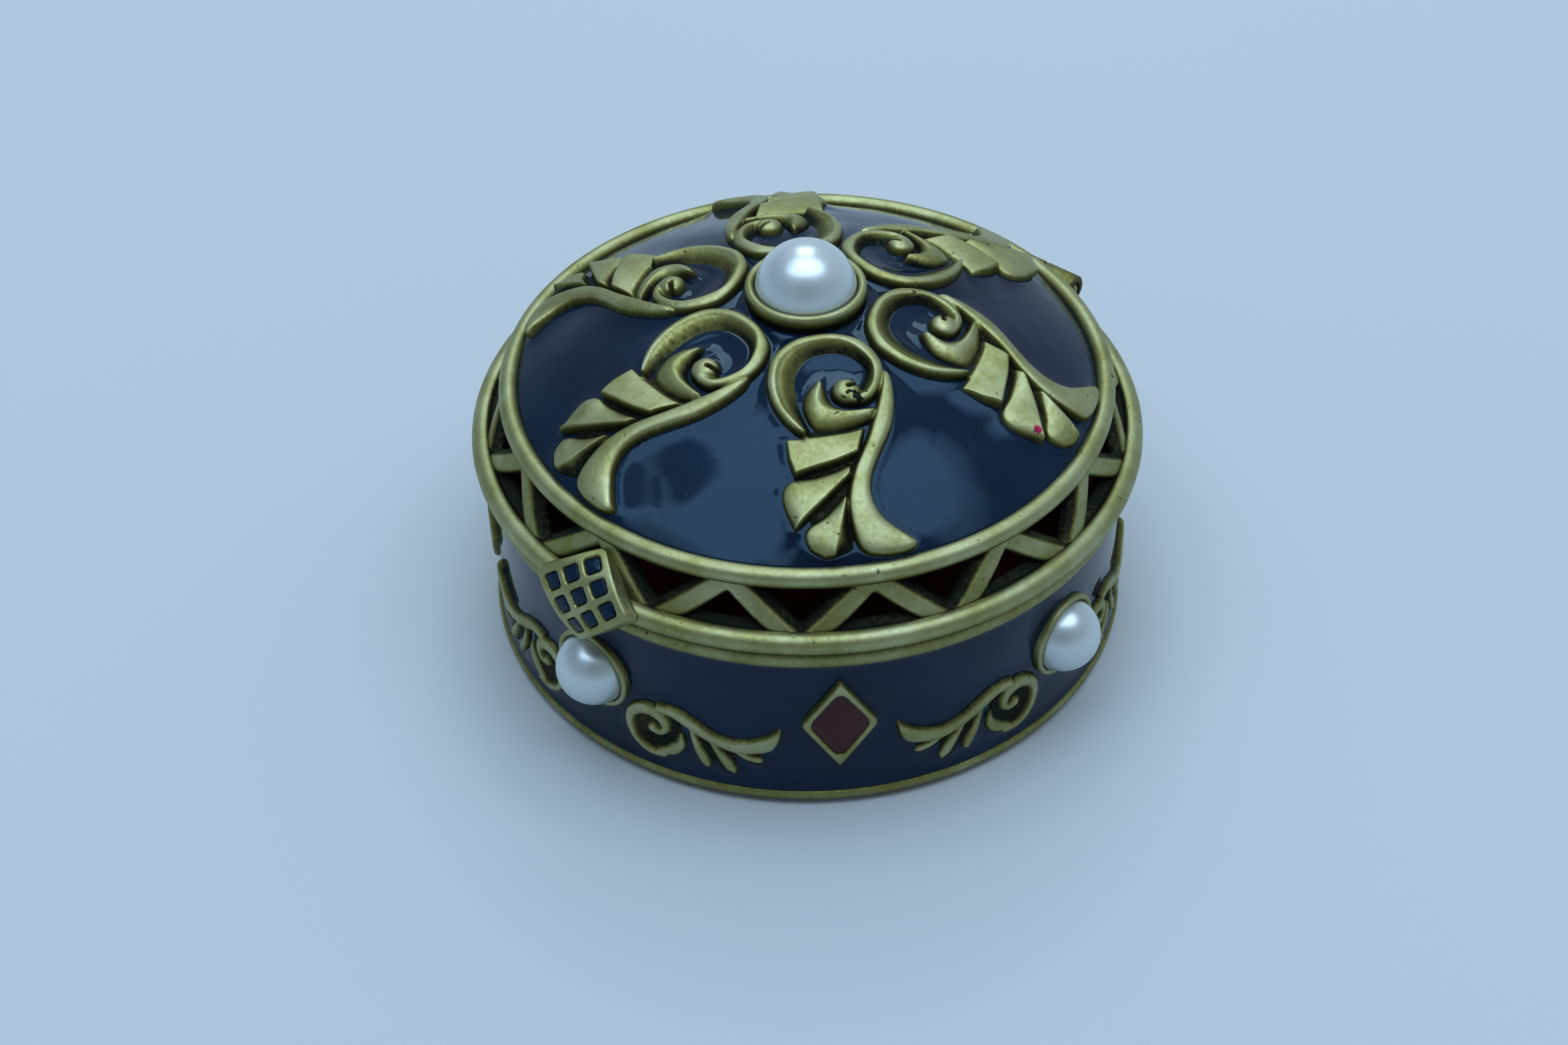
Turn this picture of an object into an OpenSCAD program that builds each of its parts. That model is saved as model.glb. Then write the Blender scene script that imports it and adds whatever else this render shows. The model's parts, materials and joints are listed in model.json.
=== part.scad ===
// Round hinged pill box: enamelled base, domed lid on a pierced zigzag gallery.
// Units are millimetres. The origin is the centre of the underside, with +Z up.
// Angles run from the front, where the tab is (-Y), towards +X.

/* [Overall] */
// Diameter over the outer bead of the lid
lid_d = 54; // [48:0.5:66]
// Height of the base, from the underside to the parting line
base_h = 16.5; // [13.5:0.5:22]
// Height of the dome above the middle of the dome bead
dome_h = 7.7; // [6:0.1:10]

/* [Base] */
// Thickness of the cast wall behind the enamel
wall_t = 1.2; // [0.8:0.1:2]
// Thickness of the floor
floor_t = 1.4; // [1:0.1:2.5]
// Thickness of the enamel on the wall, at its thinnest
enamel_t = 0.5; // [0.3:0.1:1]
// How far the enamel lies inside the bead of the base
enamel_inset = 0.7; // [0.4:0.1:1]
// How far the enamel swells out towards the foot
enamel_flare = 0.35; // [0:0.05:0.8]
// Height of the brass foot rim
foot_h = 1.4; // [1:0.1:2.5]
// Height of the brass bead round the top of the base
rim_bead_h = 1.7; // [1.2:0.1:2.5]
// How far the lid bead overhangs the bead of the base
rim_setback = 0.6; // [0.3:0.1:1.2]
// Height of the locating lip above the parting line
lip_h = 1.1; // [0.6:0.1:2]
// Thickness of the locating lip
lip_t = 0.5; // [0.4:0.1:0.8]
// Relief of the base scrolls over the enamel
base_relief = 0.4; // [0.2:0.1:0.8]

/* [Lid] */
// Diameter of the outer bead's section
outer_bead_d = 1.8; // [1.2:0.1:2.4]
// Diameter of the dome bead's section
dome_bead_d = 1.4; // [1:0.1:2]
// Width of the gallery between the middles of the two beads
gallery_w = 2.4; // [2:0.1:4]
// Height of the gallery between the middles of the two beads
gallery_h = 4.3; // [3.5:0.1:6]
// Number of zigzags round the gallery
zigzags = 14; // [10:2:18]
// Width of a gallery strut
strut_w = 1.7; // [0.9:0.1:2]
// Thickness of the gallery
gallery_t = 1.2; // [0.8:0.1:1.6]
// How far the gallery lies back from the line between the two beads
gallery_setback = 0.35; // [0.2:0.05:0.6]
// How far a window is cut into the outer bead
window_undercut = 0.1; // [0:0.05:0.2]
// Width of the ledge inside the outer bead
ledge_w = 1.3; // [1:0.1:1.5]
// Thickness of the ledge
ledge_t = 0.7; // [0.5:0.1:1]
// Thickness of the cast dome
dome_t = 0.9; // [0.7:0.1:1.5]
// Thickness of the enamel on the dome
lid_enamel_t = 0.6; // [0.4:0.1:1]
// Relief of the lid scrolls over the enamel
lid_relief = 0.9; // [0.5:0.1:1.3]
// Angle of the first scroll's knob from the front
lid_scroll_turn = -4.7; // [-30:0.1:30]

/* [Pearls and lozenges] */
// Diameter of the half pearl on the dome
centre_pearl_d = 8; // [6:0.5:10]
// Diameter of the half pearls on the base
side_pearl_d = 6; // [4:0.5:7.5]
// Wall of the centre pearl's bezel
centre_bezel_t = 0.7; // [0.4:0.1:1]
// Wall of a side pearl's bezel
side_bezel_t = 0.5; // [0.4:0.1:1]
// Height of the centre bezel's rim above the top of the dome
centre_bezel_h = 1.3; // [0.8:0.1:2]
// How far a side bezel stands out of the enamel at its thinnest
side_bezel_h = 0.8; // [0.5:0.1:1.2]
// Depth of a pearl's flat back below the rim of its bezel
pearl_seat = 0.7; // [0.4:0.1:1]
// Depth of the side pearls' middle below the parting line, which keeps them clear of the tab
pearl_drop = 7.6; // [6.8:0.1:8.5]
// Width of a lozenge
lozenge_w = 6; // [4:0.1:7]
// Height of a lozenge
lozenge_h = 9.3; // [6:0.1:11]
// Width of a lozenge's frame
lozenge_frame_w = 0.6; // [0.4:0.1:1]
// How far a lozenge stands out of the enamel at its thinnest
lozenge_proud = 1.1; // [0.5:0.1:1.5]
// How far a lozenge's enamel lies below its frame
lozenge_sink = 0.15; // [0.05:0.05:0.3]
// Height of the lozenges above the middle of the enamelled wall
lozenge_rise = 0.7; // [0:0.1:1.5]

/* [Tab] */
// Side of the square tab, measured over its curve
tab_side = 6.4; // [5:0.1:8]
// Thickness of the tab
tab_t = 1; // [0.8:0.1:1.4]
// Radius of the tab's curve over the rim
tab_r = 5; // [4.5:0.1:8]
// Tilt of the tab's middle above the horizontal
tab_tilt = 28; // [20:1:40]
// Angle of the tab from the middle of the front
tab_turn = 2.1; // [-5:0.1:5]
// Spacing of the enamel cells in the tab
cell_pitch = 1.88; // [1.5:0.02:2.1]
// Side of an enamel cell
cell_w = 1.2; // [0.8:0.05:1.4]
// Depth of an enamel cell
cell_depth = 0.5; // [0.3:0.05:0.7]
// How far the enamel lies below the face of the tab
cell_sink = 0.06; // [0.02:0.02:0.2]

/* [Hinge] */
// Diameter of the hinge pin
pin_d = 1.2; // [0.8:0.1:1.6]
// Outer diameter of the knuckles
knuckle_d = 2.6; // [2:0.1:3.2]
// Length of the middle knuckle, which belongs to the base
middle_knuckle_w = 6; // [4:0.5:8]
// Length of each end knuckle, which belongs to the lid
end_knuckle_w = 3.4; // [2.5:0.1:5]
// Thickness of the webs that carry the knuckles
web_t = 1.2; // [0.8:0.1:1.5]

/* [Lining] */
// Thickness of the fabric lining
lining_t = 0.8; // [0.5:0.1:1.2]
// Thickness of the floor pad at its edge
pad_t = 1.2; // [0.8:0.1:2]
// Rise of the floor pad's crown
pad_crown = 0.7; // [0.3:0.1:1.2]

/* [Fits] */
// Gap at the parting line
parting_gap = 0.1; // [0.05:0.05:0.3]
// Radial clearance of the pin in the knuckles
pin_clearance = 0.05; // [0.02:0.01:0.1]
// Gap round a piece that is set into another one
seat_gap = 0.03; // [0.02:0.01:0.05]
// Gap between pieces that move past each other
running_gap = 0.15; // [0.1:0.05:0.3]

/* [Hidden] */
$fn = 96;
FINE_STEPS = 360;
CROWN_STEPS = 6;
CURVE_STEPS = 4;
END_STEP = 30;
LID_SCROLLS = 6;
FAR = 60;
QUARTERS = 4;
CELL_ROWS = 3;
KNUCKLES = 2;

// Base: radii and heights of the wall
lid_r = lid_d / 2;
base_r = lid_r - rim_setback;
enamel_r = base_r - enamel_inset;
wall_r = enamel_r - enamel_t;
cavity_r = wall_r - wall_t;
wall_z0 = foot_h;
wall_z1 = base_h - rim_bead_h;
wall_mid_z = (wall_z0 + wall_z1) / 2;
pearl_z = base_h - pearl_drop;
lozenge_z = wall_mid_z + lozenge_rise;

// Lid: middles of the two beads in the plane of radius and height
bead_r = lid_r - outer_bead_d / 2;
bead_z = base_h + parting_gap + outer_bead_d / 2;
dome_bead_r = bead_r - gallery_w;
dome_bead_z = bead_z + gallery_h;
field_r = dome_bead_r - dome_bead_d / 2;
dome_r = (dome_bead_r * dome_bead_r + dome_h * dome_h) / (2 * dome_h);
dome_centre_z = dome_bead_z + dome_h - dome_r;
shell_r = dome_r - lid_enamel_t;
ledge_r = bead_r - ledge_w;

// Gallery: its slope from under the dome bead down to the outer bead
gallery_slope = atan2(gallery_h, gallery_w);
gallery_len = norm([gallery_w, gallery_h]);
gallery_mid_r = (bead_r + dome_bead_r) / 2;
gallery_mid_z = (bead_z + dome_bead_z) / 2;

// Pearls
centre_bezel_r = centre_pearl_d / 2 + centre_bezel_t;
side_bezel_r = side_pearl_d / 2 + side_bezel_t;
centre_rim_z = dome_bead_z + dome_h + centre_bezel_h;
side_rim_r = enamel_r + side_bezel_h;

// Tab: its curve is centred so that the middle rests on the outer bead
tab_half = tab_side / sqrt(2);
tab_reach = outer_bead_d / 2 + tab_t + seat_gap - tab_r;
tab_centre_r = bead_r + tab_reach * cos(tab_tilt);
tab_centre_z = bead_z + tab_reach * sin(tab_tilt);

// Hinge axis: parallel to X behind the lid, at the parting line
hinge_y = lid_r + knuckle_d / 2 + running_gap;
hinge_z = base_h + parting_gap / 2;
hinge_w = middle_knuckle_w + 2 * (end_knuckle_w + running_gap);

// Scrolls are drawn as strokes: each point is [across, out, half width].
// Lid scrolls are drawn in a ring from the centre bezel to the dome bead.
LID_DRAWN_IN = 4.7;
LID_DRAWN_OUT = 23;
LID_STROKES = [
    // Volute band, from its free end to the knob
    [[-4.25, 13.3, 0.45], [-4.7, 11, 0.85], [-4.5, 8.8, 0.88], [-3.75, 7.1, 0.82], [-2.4, 6.1, 0.75],
     [-0.8, 5.85, 0.72], [0.85, 6.15, 0.72], [2.1, 7.1, 0.66], [2.7, 8.5, 0.58], [2.6, 9.9, 0.58],
     [1.9, 11, 0.66], [0.95, 11.35, 0.75], [0.1, 10.8, 1.15]],
    // Crescent leaf under the knob
    [[-1.6, 9.7, 0.1], [-2.3, 10.8, 0.6], [-2.3, 12, 0.95], [-1.3, 12.75, 0.75], [0, 12.95, 0.5],
     [1.9, 12.8, 0.2]],
    // Stem with its turned foot
    [[3, 9.8, 0.25], [2.8, 12.1, 0.5], [1.5, 14.3, 0.82], [0, 16.4, 0.88], [-1.1, 18.3, 0.82],
     [-1.45, 20, 0.92], [-1.1, 21.3, 1], [0, 22.05, 0.8], [1.35, 22.2, 0.5]],
    // Two rounded leaves along the stem
    [[-0.6, 16.5, 0.12], [-3, 17.5, 0.6], [-4.8, 17.9, 1.05], [-5.5, 18.1, 1.12]],
    [[-1.5, 18.3, 0.12], [-3.3, 20.1, 0.7], [-4.1, 20.9, 1.05], [-4.3, 21.1, 1.1]]
];
// The first leaf has a straight end
LID_CUT_STROKES = [
    [[1.2, 14.3, 0.12], [-0.9, 15.05, 0.7], [-3.1, 15.15, 1], [-5.4, 15, 1.25]]
];

// Base scrolls are drawn from a pearl towards a lozenge: across the wall, and up from the floor.
BASE_DRAWN_R = 28;
BASE_DRAWN_Z = [0.6, 15.5];
BASE_DRAWN_MID = 10;
BASE_STROKES = [
    // Volute band, from its free end to the knob
    [[7.2, 2.6, 0.3], [5.6, 2.5, 0.36], [4.2, 3.4, 0.36], [3.6, 5, 0.4], [4.1, 6.5, 0.55],
     [5.4, 7.3, 0.7], [6.6, 6.8, 0.62], [7.05, 5.8, 0.48], [6.6, 5.15, 0.42], [5.8, 5.3, 0.6]],
    // Stem with its spread end
    [[6, 7.9, 0.4], [7.9, 7.9, 0.55], [9.5, 7.05, 0.58], [11.1, 6.1, 0.5], [12.7, 5.6, 0.6],
     [14.2, 5.8, 0.9], [15.5, 6.4, 1.15], [16.2, 6.9, 1.1]],
    // Crescent leaf under the knob
    [[8.5, 5.6, 0.12], [8.4, 4.3, 0.42], [7.6, 3.3, 0.5], [6.4, 2.7, 0.36]],
    // Three leaves below the stem
    [[9.1, 7.2, 0.12], [9.8, 4.8, 0.32], [10.4, 3.5, 0.42], [10.7, 2.9, 0.3]],
    [[10.7, 6.1, 0.12], [11.6, 4.5, 0.45], [12.3, 3.2, 0.65], [12.6, 2.7, 0.65]],
    [[12.6, 5.4, 0.12], [13.9, 4.5, 0.4], [14.5, 4.2, 0.45]]
];

// Scale from the drawn scrolls to the real lid and the real wall
lid_k = (field_r - centre_bezel_r) / (LID_DRAWN_OUT - LID_DRAWN_IN);
base_kx = enamel_r / BASE_DRAWN_R;
base_kz = (wall_z1 - wall_z0) / (BASE_DRAWN_Z[1] - BASE_DRAWN_Z[0]);

BRASS = [0.6, 0.57, 0.36];
NAVY = [0.05, 0.09, 0.2];
MAROON = [0.2, 0.03, 0.05];
PEARL = [0.9, 0.92, 0.92];
VELVET = [0.5, 0.02, 0.05];

// A smooth curve through a stroke's points, and the outline on both sides of it
function at(p, i) = p[max(0, min(len(p) - 1, i))];
function between(a, b, c, d, t) =
    0.5 * (2 * b + (c - a) * t + (2 * a - 5 * b + 4 * c - d) * t * t
    + (3 * b - a - 3 * c + d) * t * t * t);
function curve(p) = [
    for (i = [0 : len(p) - 2], k = [0 : CURVE_STEPS - 1])
        between(at(p, i - 1), p[i], p[i + 1], at(p, i + 2), k / CURVE_STEPS),
    p[len(p) - 1]
];
function side(q, i) =
    let (d = at(q, i + 1) - at(q, i - 1), l = norm([d.x, d.y]))
    [-d.y / l, d.x / l];
function edge(q, i, s, grow) = [q[i].x, q[i].y] + s * (q[i].z + grow) * side(q, i);
function round_end(q, grow) =
    let (n = len(q) - 1, s = side(q, n), r = q[n].z + grow)
    [for (a = [END_STEP : END_STEP : 180 - END_STEP])
        [q[n].x, q[n].y] + r * [s.x * cos(a) + s.y * sin(a), s.y * cos(a) - s.x * sin(a)]];
function cut_end(q, grow) =
    let (n = len(q) - 1, s = side(q, n), ahead = grow * [s.y, -s.x])
    [edge(q, n, 1, grow) + ahead, edge(q, n, -1, grow) + ahead];
function outline(q, grow, rounded) =
    let (last = rounded ? len(q) - 1 : len(q) - 2)
    concat(
        [for (i = [0 : last]) edge(q, i, 1, grow)],
        rounded ? round_end(q, grow) : cut_end(q, grow),
        [for (i = [last : -1 : 0]) edge(q, i, -1, grow)]
    );

// Drawn points carried to the real ring of the lid, and to the real wall of the base
function on_lid(p) =
    let (r = norm([p.x, p.y]), k = (centre_bezel_r + (r - LID_DRAWN_IN) * lid_k) / r)
    [p.x * k, -p.y * k, p.z * lid_k];
function on_base(p) = [
    (p.x - BASE_DRAWN_MID) * base_kx,
    wall_z0 + (p.y - BASE_DRAWN_Z[0]) * base_kz,
    p.z * min(base_kx, base_kz)
];

module flat_scroll(strokes, grow, rounded) {
    for (s = strokes)
        polygon(outline(curve(s), grow, rounded));
}

module flat_lid_scroll(grow) {
    flat_scroll([for (s = LID_STROKES) [for (p = s) on_lid(p)]], grow, true);
    flat_scroll([for (s = LID_CUT_STROKES) [for (p = s) on_lid(p)]], grow, false);
}

module flat_base_scroll(grow) {
    flat_scroll([for (s = BASE_STROKES) [for (p = s) on_base(p)]], grow, true);
}

// Something modelled at the front, facing -Y, carried round the box to an angle
module at_angle(a) {
    rotate([0, 0, a])
        children();
}

// A flat shape drawn as seen from the front, made into a prism that points out of the wall
module out_of_wall(from_r) {
    translate([0, -from_r, 0])
        rotate([90, 0, 0])
            linear_extrude(lid_r)
                children();
}

// The wall's own round profile, grown outwards: straight behind, flared towards the foot
module wall_profile(proud) {
    polygon([
        [wall_r, wall_z0],
        [enamel_r + enamel_flare + proud, wall_z0],
        [enamel_r + enamel_flare / 3 + proud, wall_z0 + (wall_z1 - wall_z0) / 3],
        [enamel_r + proud, wall_z0 + (wall_z1 - wall_z0) * 2 / 3],
        [enamel_r + proud, wall_z1],
        [wall_r, wall_z1]
    ]);
}

module dome_layer(inner, outer, reach) {
    rotate_extrude()
        intersection() {
            translate([0, dome_centre_z])
                difference() {
                    circle(outer);
                    circle(inner);
                }
            translate([0, dome_bead_z - gallery_h])
                square([reach, FAR]);
        }
}

// Base

module rim_bead_profile(grow) {
    translate([base_r - rim_bead_h / 2, base_h - rim_bead_h / 2])
        circle(rim_bead_h / 2 + grow);
}

module base_cup() {
    color(BRASS)
        rotate_extrude() {
            difference() {
                square([wall_r, base_h]);
                translate([0, floor_t])
                    square([cavity_r, base_h]);
            }
            translate([cavity_r, 0])
                square([base_r - foot_h / 2 - cavity_r, foot_h]);
            translate([base_r - foot_h / 2, foot_h / 2])
                circle(foot_h / 2);
            translate([cavity_r, base_h - rim_bead_h])
                square([base_r - rim_bead_h / 2 - cavity_r, rim_bead_h]);
            rim_bead_profile(0);
            translate([cavity_r, base_h - rim_bead_h])
                square([lip_t, rim_bead_h + lip_h]);
        }
}

module base_scroll_prism(n, grow) {
    pearl = floor((n - 1) / 2) * 90;
    hand = n % 2 == 1 ? 1 : -1;
    at_angle(pearl)
        mirror([hand > 0 ? 0 : 1, 0, 0])
            at_angle(BASE_DRAWN_MID / BASE_DRAWN_R * 180 / PI)
                out_of_wall(wall_r / 2)
                    flat_base_scroll(grow);
}

module base_scroll(n) {
    color(BRASS)
        intersection() {
            base_scroll_prism(n, 0);
            rotate_extrude()
                difference() {
                    wall_profile(base_relief);
                    square([wall_r + seat_gap, base_h]);
                }
        }
}

module bezel_plug(grow) {
    translate([0, -wall_r / 2, pearl_z])
        rotate([90, 0, 0])
            cylinder(h = side_rim_r - wall_r / 2, r = side_bezel_r + grow);
}

module side_bezel(n) {
    color(BRASS)
        at_angle((n - 1) * 90)
            difference() {
                bezel_plug(0);
                cylinder(h = base_h, r = wall_r + seat_gap, $fn = FINE_STEPS);
                translate([0, -side_rim_r + pearl_seat, pearl_z])
                    rotate([90, 0, 0])
                        cylinder(h = pearl_seat + 1, r = side_pearl_d / 2 + seat_gap);
            }
}

module half_pearl(d) {
    rotate_extrude()
        intersection() {
            circle(d / 2);
            square(d);
        }
}

module side_pearl(n) {
    color(PEARL)
        at_angle((n - 1) * 90)
            translate([0, -side_rim_r + pearl_seat - seat_gap, pearl_z])
                rotate([90, 0, 0])
                    half_pearl(side_pearl_d);
}

module flat_lozenge(inset) {
    k = inset * norm([1 / lozenge_w, 1 / lozenge_h]) * 2;
    w = lozenge_w / 2 * (1 - k);
    h = lozenge_h / 2 * (1 - k);
    polygon([[-w, lozenge_z], [0, lozenge_z - h], [w, lozenge_z], [0, lozenge_z + h]]);
}

module lozenge_prism(n, inset) {
    at_angle((n - 0.5) * 90)
        out_of_wall(wall_r / 2)
            flat_lozenge(inset);
}

module wall_ring(inner, outer) {
    rotate_extrude()
        translate([inner, wall_z0])
            square([outer - inner, wall_z1 - wall_z0]);
}

module lozenge_frame(n) {
    front_r = enamel_r + lozenge_proud;
    color(BRASS)
        difference() {
            intersection() {
                lozenge_prism(n, 0);
                wall_ring(wall_r + seat_gap, front_r);
            }
            intersection() {
                lozenge_prism(n, lozenge_frame_w);
                wall_ring(enamel_r, front_r + 1);
            }
        }
}

module lozenge_enamel(n) {
    color(MAROON)
        intersection() {
            lozenge_prism(n, lozenge_frame_w + seat_gap);
            wall_ring(enamel_r + seat_gap, enamel_r + lozenge_proud - lozenge_sink);
        }
}

module base_enamel() {
    color(NAVY)
        difference() {
            rotate_extrude()
                difference() {
                    wall_profile(0);
                    square([wall_r + seat_gap, base_h]);
                    rim_bead_profile(seat_gap);
                    translate([base_r - foot_h / 2, foot_h / 2])
                        circle(foot_h / 2 + seat_gap);
                }
            for (n = [1 : 2 * QUARTERS])
                base_scroll_prism(n, seat_gap);
            for (n = [1 : QUARTERS]) {
                at_angle((n - 1) * 90)
                    bezel_plug(seat_gap);
                lozenge_prism(n, -seat_gap);
            }
        }
}

module wall_lining() {
    color(VELVET)
        rotate_extrude()
            translate([cavity_r - lining_t - seat_gap, floor_t + seat_gap])
                square([lining_t, base_h - floor_t - rim_bead_h / 2]);
}

module floor_pad() {
    r = cavity_r - lining_t - 3 * seat_gap;
    z = floor_t + seat_gap;
    crown = [
        for (k = [0 : CROWN_STEPS])
            [r * k / CROWN_STEPS, z + pad_t + pad_crown * (1 - pow(k / CROWN_STEPS, 2))]
    ];
    color(VELVET)
        rotate_extrude()
            polygon(concat([[r, z], [0, z]], crown));
}

// Hinge

module knuckle(x0, w) {
    translate([x0, hinge_y, hinge_z])
        rotate([0, 90, 0])
            cylinder(h = w, d = knuckle_d);
}

module pin_bore(r) {
    translate([-hinge_w, hinge_y, hinge_z])
        rotate([0, 90, 0])
            cylinder(h = 2 * hinge_w, r = r);
}

module base_hinge() {
    color(BRASS)
        difference() {
            union() {
                knuckle(-middle_knuckle_w / 2, middle_knuckle_w);
                translate([-middle_knuckle_w / 2, base_r - rim_bead_h / 2, hinge_z - running_gap - web_t])
                    cube([middle_knuckle_w, hinge_y - base_r + rim_bead_h / 2, web_t]);
            }
            pin_bore(pin_d / 2 + pin_clearance);
            rotate_extrude()
                rim_bead_profile(seat_gap);
        }
}

module hinge_pin() {
    color(BRASS)
        translate([-hinge_w / 2, hinge_y, hinge_z])
            rotate([0, 90, 0])
                cylinder(h = hinge_w, d = pin_d);
}

module lid_hinge(n) {
    start = middle_knuckle_w / 2 + running_gap;
    x = n == 1 ? -start - end_knuckle_w : start;
    color(BRASS)
        difference() {
            union() {
                knuckle(x, end_knuckle_w);
                translate([x, bead_r, hinge_z + running_gap])
                    cube([end_knuckle_w, hinge_y - bead_r, web_t]);
            }
            pin_bore(pin_d / 2 + pin_clearance);
            rotate_extrude()
                outer_bead_profile(seat_gap);
        }
}

// Lid

module outer_bead_profile(grow) {
    translate([bead_r, bead_z])
        circle(outer_bead_d / 2 + grow);
}

module gallery_profile() {
    translate([gallery_mid_r, gallery_mid_z])
        rotate(-gallery_slope)
            translate([-gallery_len / 2, -gallery_t / 2 - gallery_setback])
                square([gallery_len, gallery_t]);
}

// One triangular window, point up or point down, between two struts
module window(up) {
    half = PI * gallery_mid_r / zigzags;
    top = gallery_len / 2 - dome_bead_d / 2;
    low = -gallery_len / 2 + outer_bead_d / 2 - window_undercut;
    lean = atan2(gallery_len, half);
    trim = strut_w / 2 / sin(lean);
    k = half / gallery_len;
    reach = up ? gallery_len / 2 - low : gallery_len / 2 + top;
    w0 = reach * k - trim;
    tip = w0 / k;
    base = up ? low : top;
    s = up ? 1 : -1;
    translate([0, -gallery_mid_r, gallery_mid_z])
        rotate([gallery_slope, 0, 0])
            translate([0, 0, -gallery_t - gallery_setback])
                linear_extrude(2 * gallery_t)
                    polygon([[-w0, base], [w0, base], [0, base + s * tip]]);
}

module lid_profile() {
    intersection() {
        translate([0, dome_centre_z])
            difference() {
                circle(shell_r);
                circle(shell_r - dome_t);
            }
        translate([0, bead_z])
            square([dome_bead_r, FAR]);
    }
    translate([dome_bead_r, dome_bead_z])
        circle(dome_bead_d / 2);
    gallery_profile();
    outer_bead_profile(0);
    translate([ledge_r, base_h + parting_gap])
        square([ledge_w, ledge_t]);
}

// The tab's outline and cells are laid out flat, then wrapped over the rim's curve
function wrapped(p) = [p.x, tab_r * sin(p.y / tab_r * 180 / PI)];
function tab_outline(h) = [
    for (q = [0 : 3], t = [0 : 0.25 : 0.75])
        let (a = [cos(90 * q), sin(90 * q)], b = [cos(90 * q + 90), sin(90 * q + 90)])
        wrapped(h * ((1 - t) * a + t * b))
];
function cell_corner(i, j, w, q) =
    let (u = i * cell_pitch + w / 2 * sign(cos(90 * q + 45)))
    let (v = j * cell_pitch + w / 2 * sign(sin(90 * q + 45)))
    wrapped([(u - v) / sqrt(2), (u + v) / sqrt(2)]);

// A prism that points out of the middle of the tab
module out_of_tab() {
    at_angle(tab_turn)
        translate([0, -tab_centre_r, tab_centre_z])
            rotate([90 - tab_tilt, 0, 0])
                linear_extrude(2 * tab_r)
                    children();
}

// A layer of the tab: its curve over the rim, turned round the lid's own axis
module tab_layer(inner, outer) {
    rotate_extrude()
        translate([tab_centre_r, tab_centre_z])
            difference() {
                circle(outer);
                circle(inner);
            }
}

module flat_cell(n, w) {
    i = floor((n - 1) / CELL_ROWS) - 1;
    j = (n - 1) % CELL_ROWS - 1;
    polygon([for (q = [0 : 3]) cell_corner(i, j, w, q)]);
}

module lid_tab() {
    color(BRASS)
        difference() {
            intersection() {
                tab_layer(tab_r - tab_t, tab_r);
                out_of_tab()
                    polygon(tab_outline(tab_half));
            }
            intersection() {
                tab_layer(tab_r - cell_depth, tab_r + 1);
                out_of_tab()
                    for (n = [1 : CELL_ROWS * CELL_ROWS])
                        flat_cell(n, cell_w);
            }
        }
}

module tab_enamel(n) {
    color(NAVY)
        intersection() {
            tab_layer(tab_r - cell_depth + seat_gap, tab_r - cell_sink);
            out_of_tab()
                flat_cell(n, cell_w - 2 * seat_gap);
        }
}

module lid_shell() {
    color(BRASS)
        difference() {
            rotate_extrude()
                lid_profile();
            for (n = [0 : zigzags - 1]) {
                at_angle(n * 360 / zigzags)
                    window(true);
                at_angle((n + 0.5) * 360 / zigzags)
                    window(false);
            }
            intersection() {
                tab_layer(tab_r - tab_t - seat_gap, tab_r + tab_t);
                out_of_tab()
                    polygon(tab_outline(tab_half + seat_gap));
            }
        }
}

module lid_scroll_prism(n, grow) {
    at_angle(lid_scroll_turn + (n - 1) * 360 / LID_SCROLLS)
        linear_extrude(FAR)
            flat_lid_scroll(grow);
}

module lid_scroll(n) {
    color(BRASS)
        intersection() {
            lid_scroll_prism(n, 0);
            dome_layer(shell_r + seat_gap, dome_r + lid_relief, field_r - seat_gap);
        }
}

module lid_enamel() {
    color(NAVY)
        difference() {
            dome_layer(shell_r + seat_gap, dome_r, field_r - seat_gap);
            for (n = [1 : LID_SCROLLS])
                lid_scroll_prism(n, seat_gap);
            cylinder(h = FAR, r = centre_bezel_r + seat_gap);
        }
}

module centre_bezel() {
    color(BRASS)
        difference() {
            cylinder(h = centre_rim_z, r = centre_bezel_r);
            translate([0, 0, dome_centre_z])
                sphere(shell_r + seat_gap);
            translate([0, 0, centre_rim_z - pearl_seat])
                cylinder(h = pearl_seat + 1, r = centre_pearl_d / 2 + seat_gap);
        }
}

module centre_pearl() {
    color(PEARL)
        translate([0, 0, centre_rim_z - pearl_seat + seat_gap])
            half_pearl(centre_pearl_d);
}

module lid_lining() {
    outer = shell_r - dome_t - seat_gap;
    color(VELVET)
        dome_layer(outer - lining_t, outer, field_r - dome_bead_d);
}

base_cup();
base_enamel();
base_hinge();
hinge_pin();
wall_lining();
floor_pad();
for (n = [1 : 2 * QUARTERS]) {
    base_scroll(n);
}
for (n = [1 : QUARTERS]) {
    side_bezel(n);
    side_pearl(n);
    lozenge_frame(n);
    lozenge_enamel(n);
}
lid_shell();
lid_enamel();
lid_lining();
lid_tab();
for (n = [1 : KNUCKLES]) {
    lid_hinge(n);
}
for (n = [1 : CELL_ROWS * CELL_ROWS]) {
    tab_enamel(n);
}
for (n = [1 : LID_SCROLLS]) {
    lid_scroll(n);
}
centre_bezel();
centre_pearl();
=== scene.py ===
"""Looks of a round hinged pill box, laid out as an add-on and run as a script."""
import json
import math
from types import SimpleNamespace

import bmesh
import bpy
import numpy as np
from bpy.props import FloatProperty, FloatVectorProperty, IntProperty, PointerProperty
from mathutils import Matrix, Vector, noise
from mathutils.bvhtree import BVHTree


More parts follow.
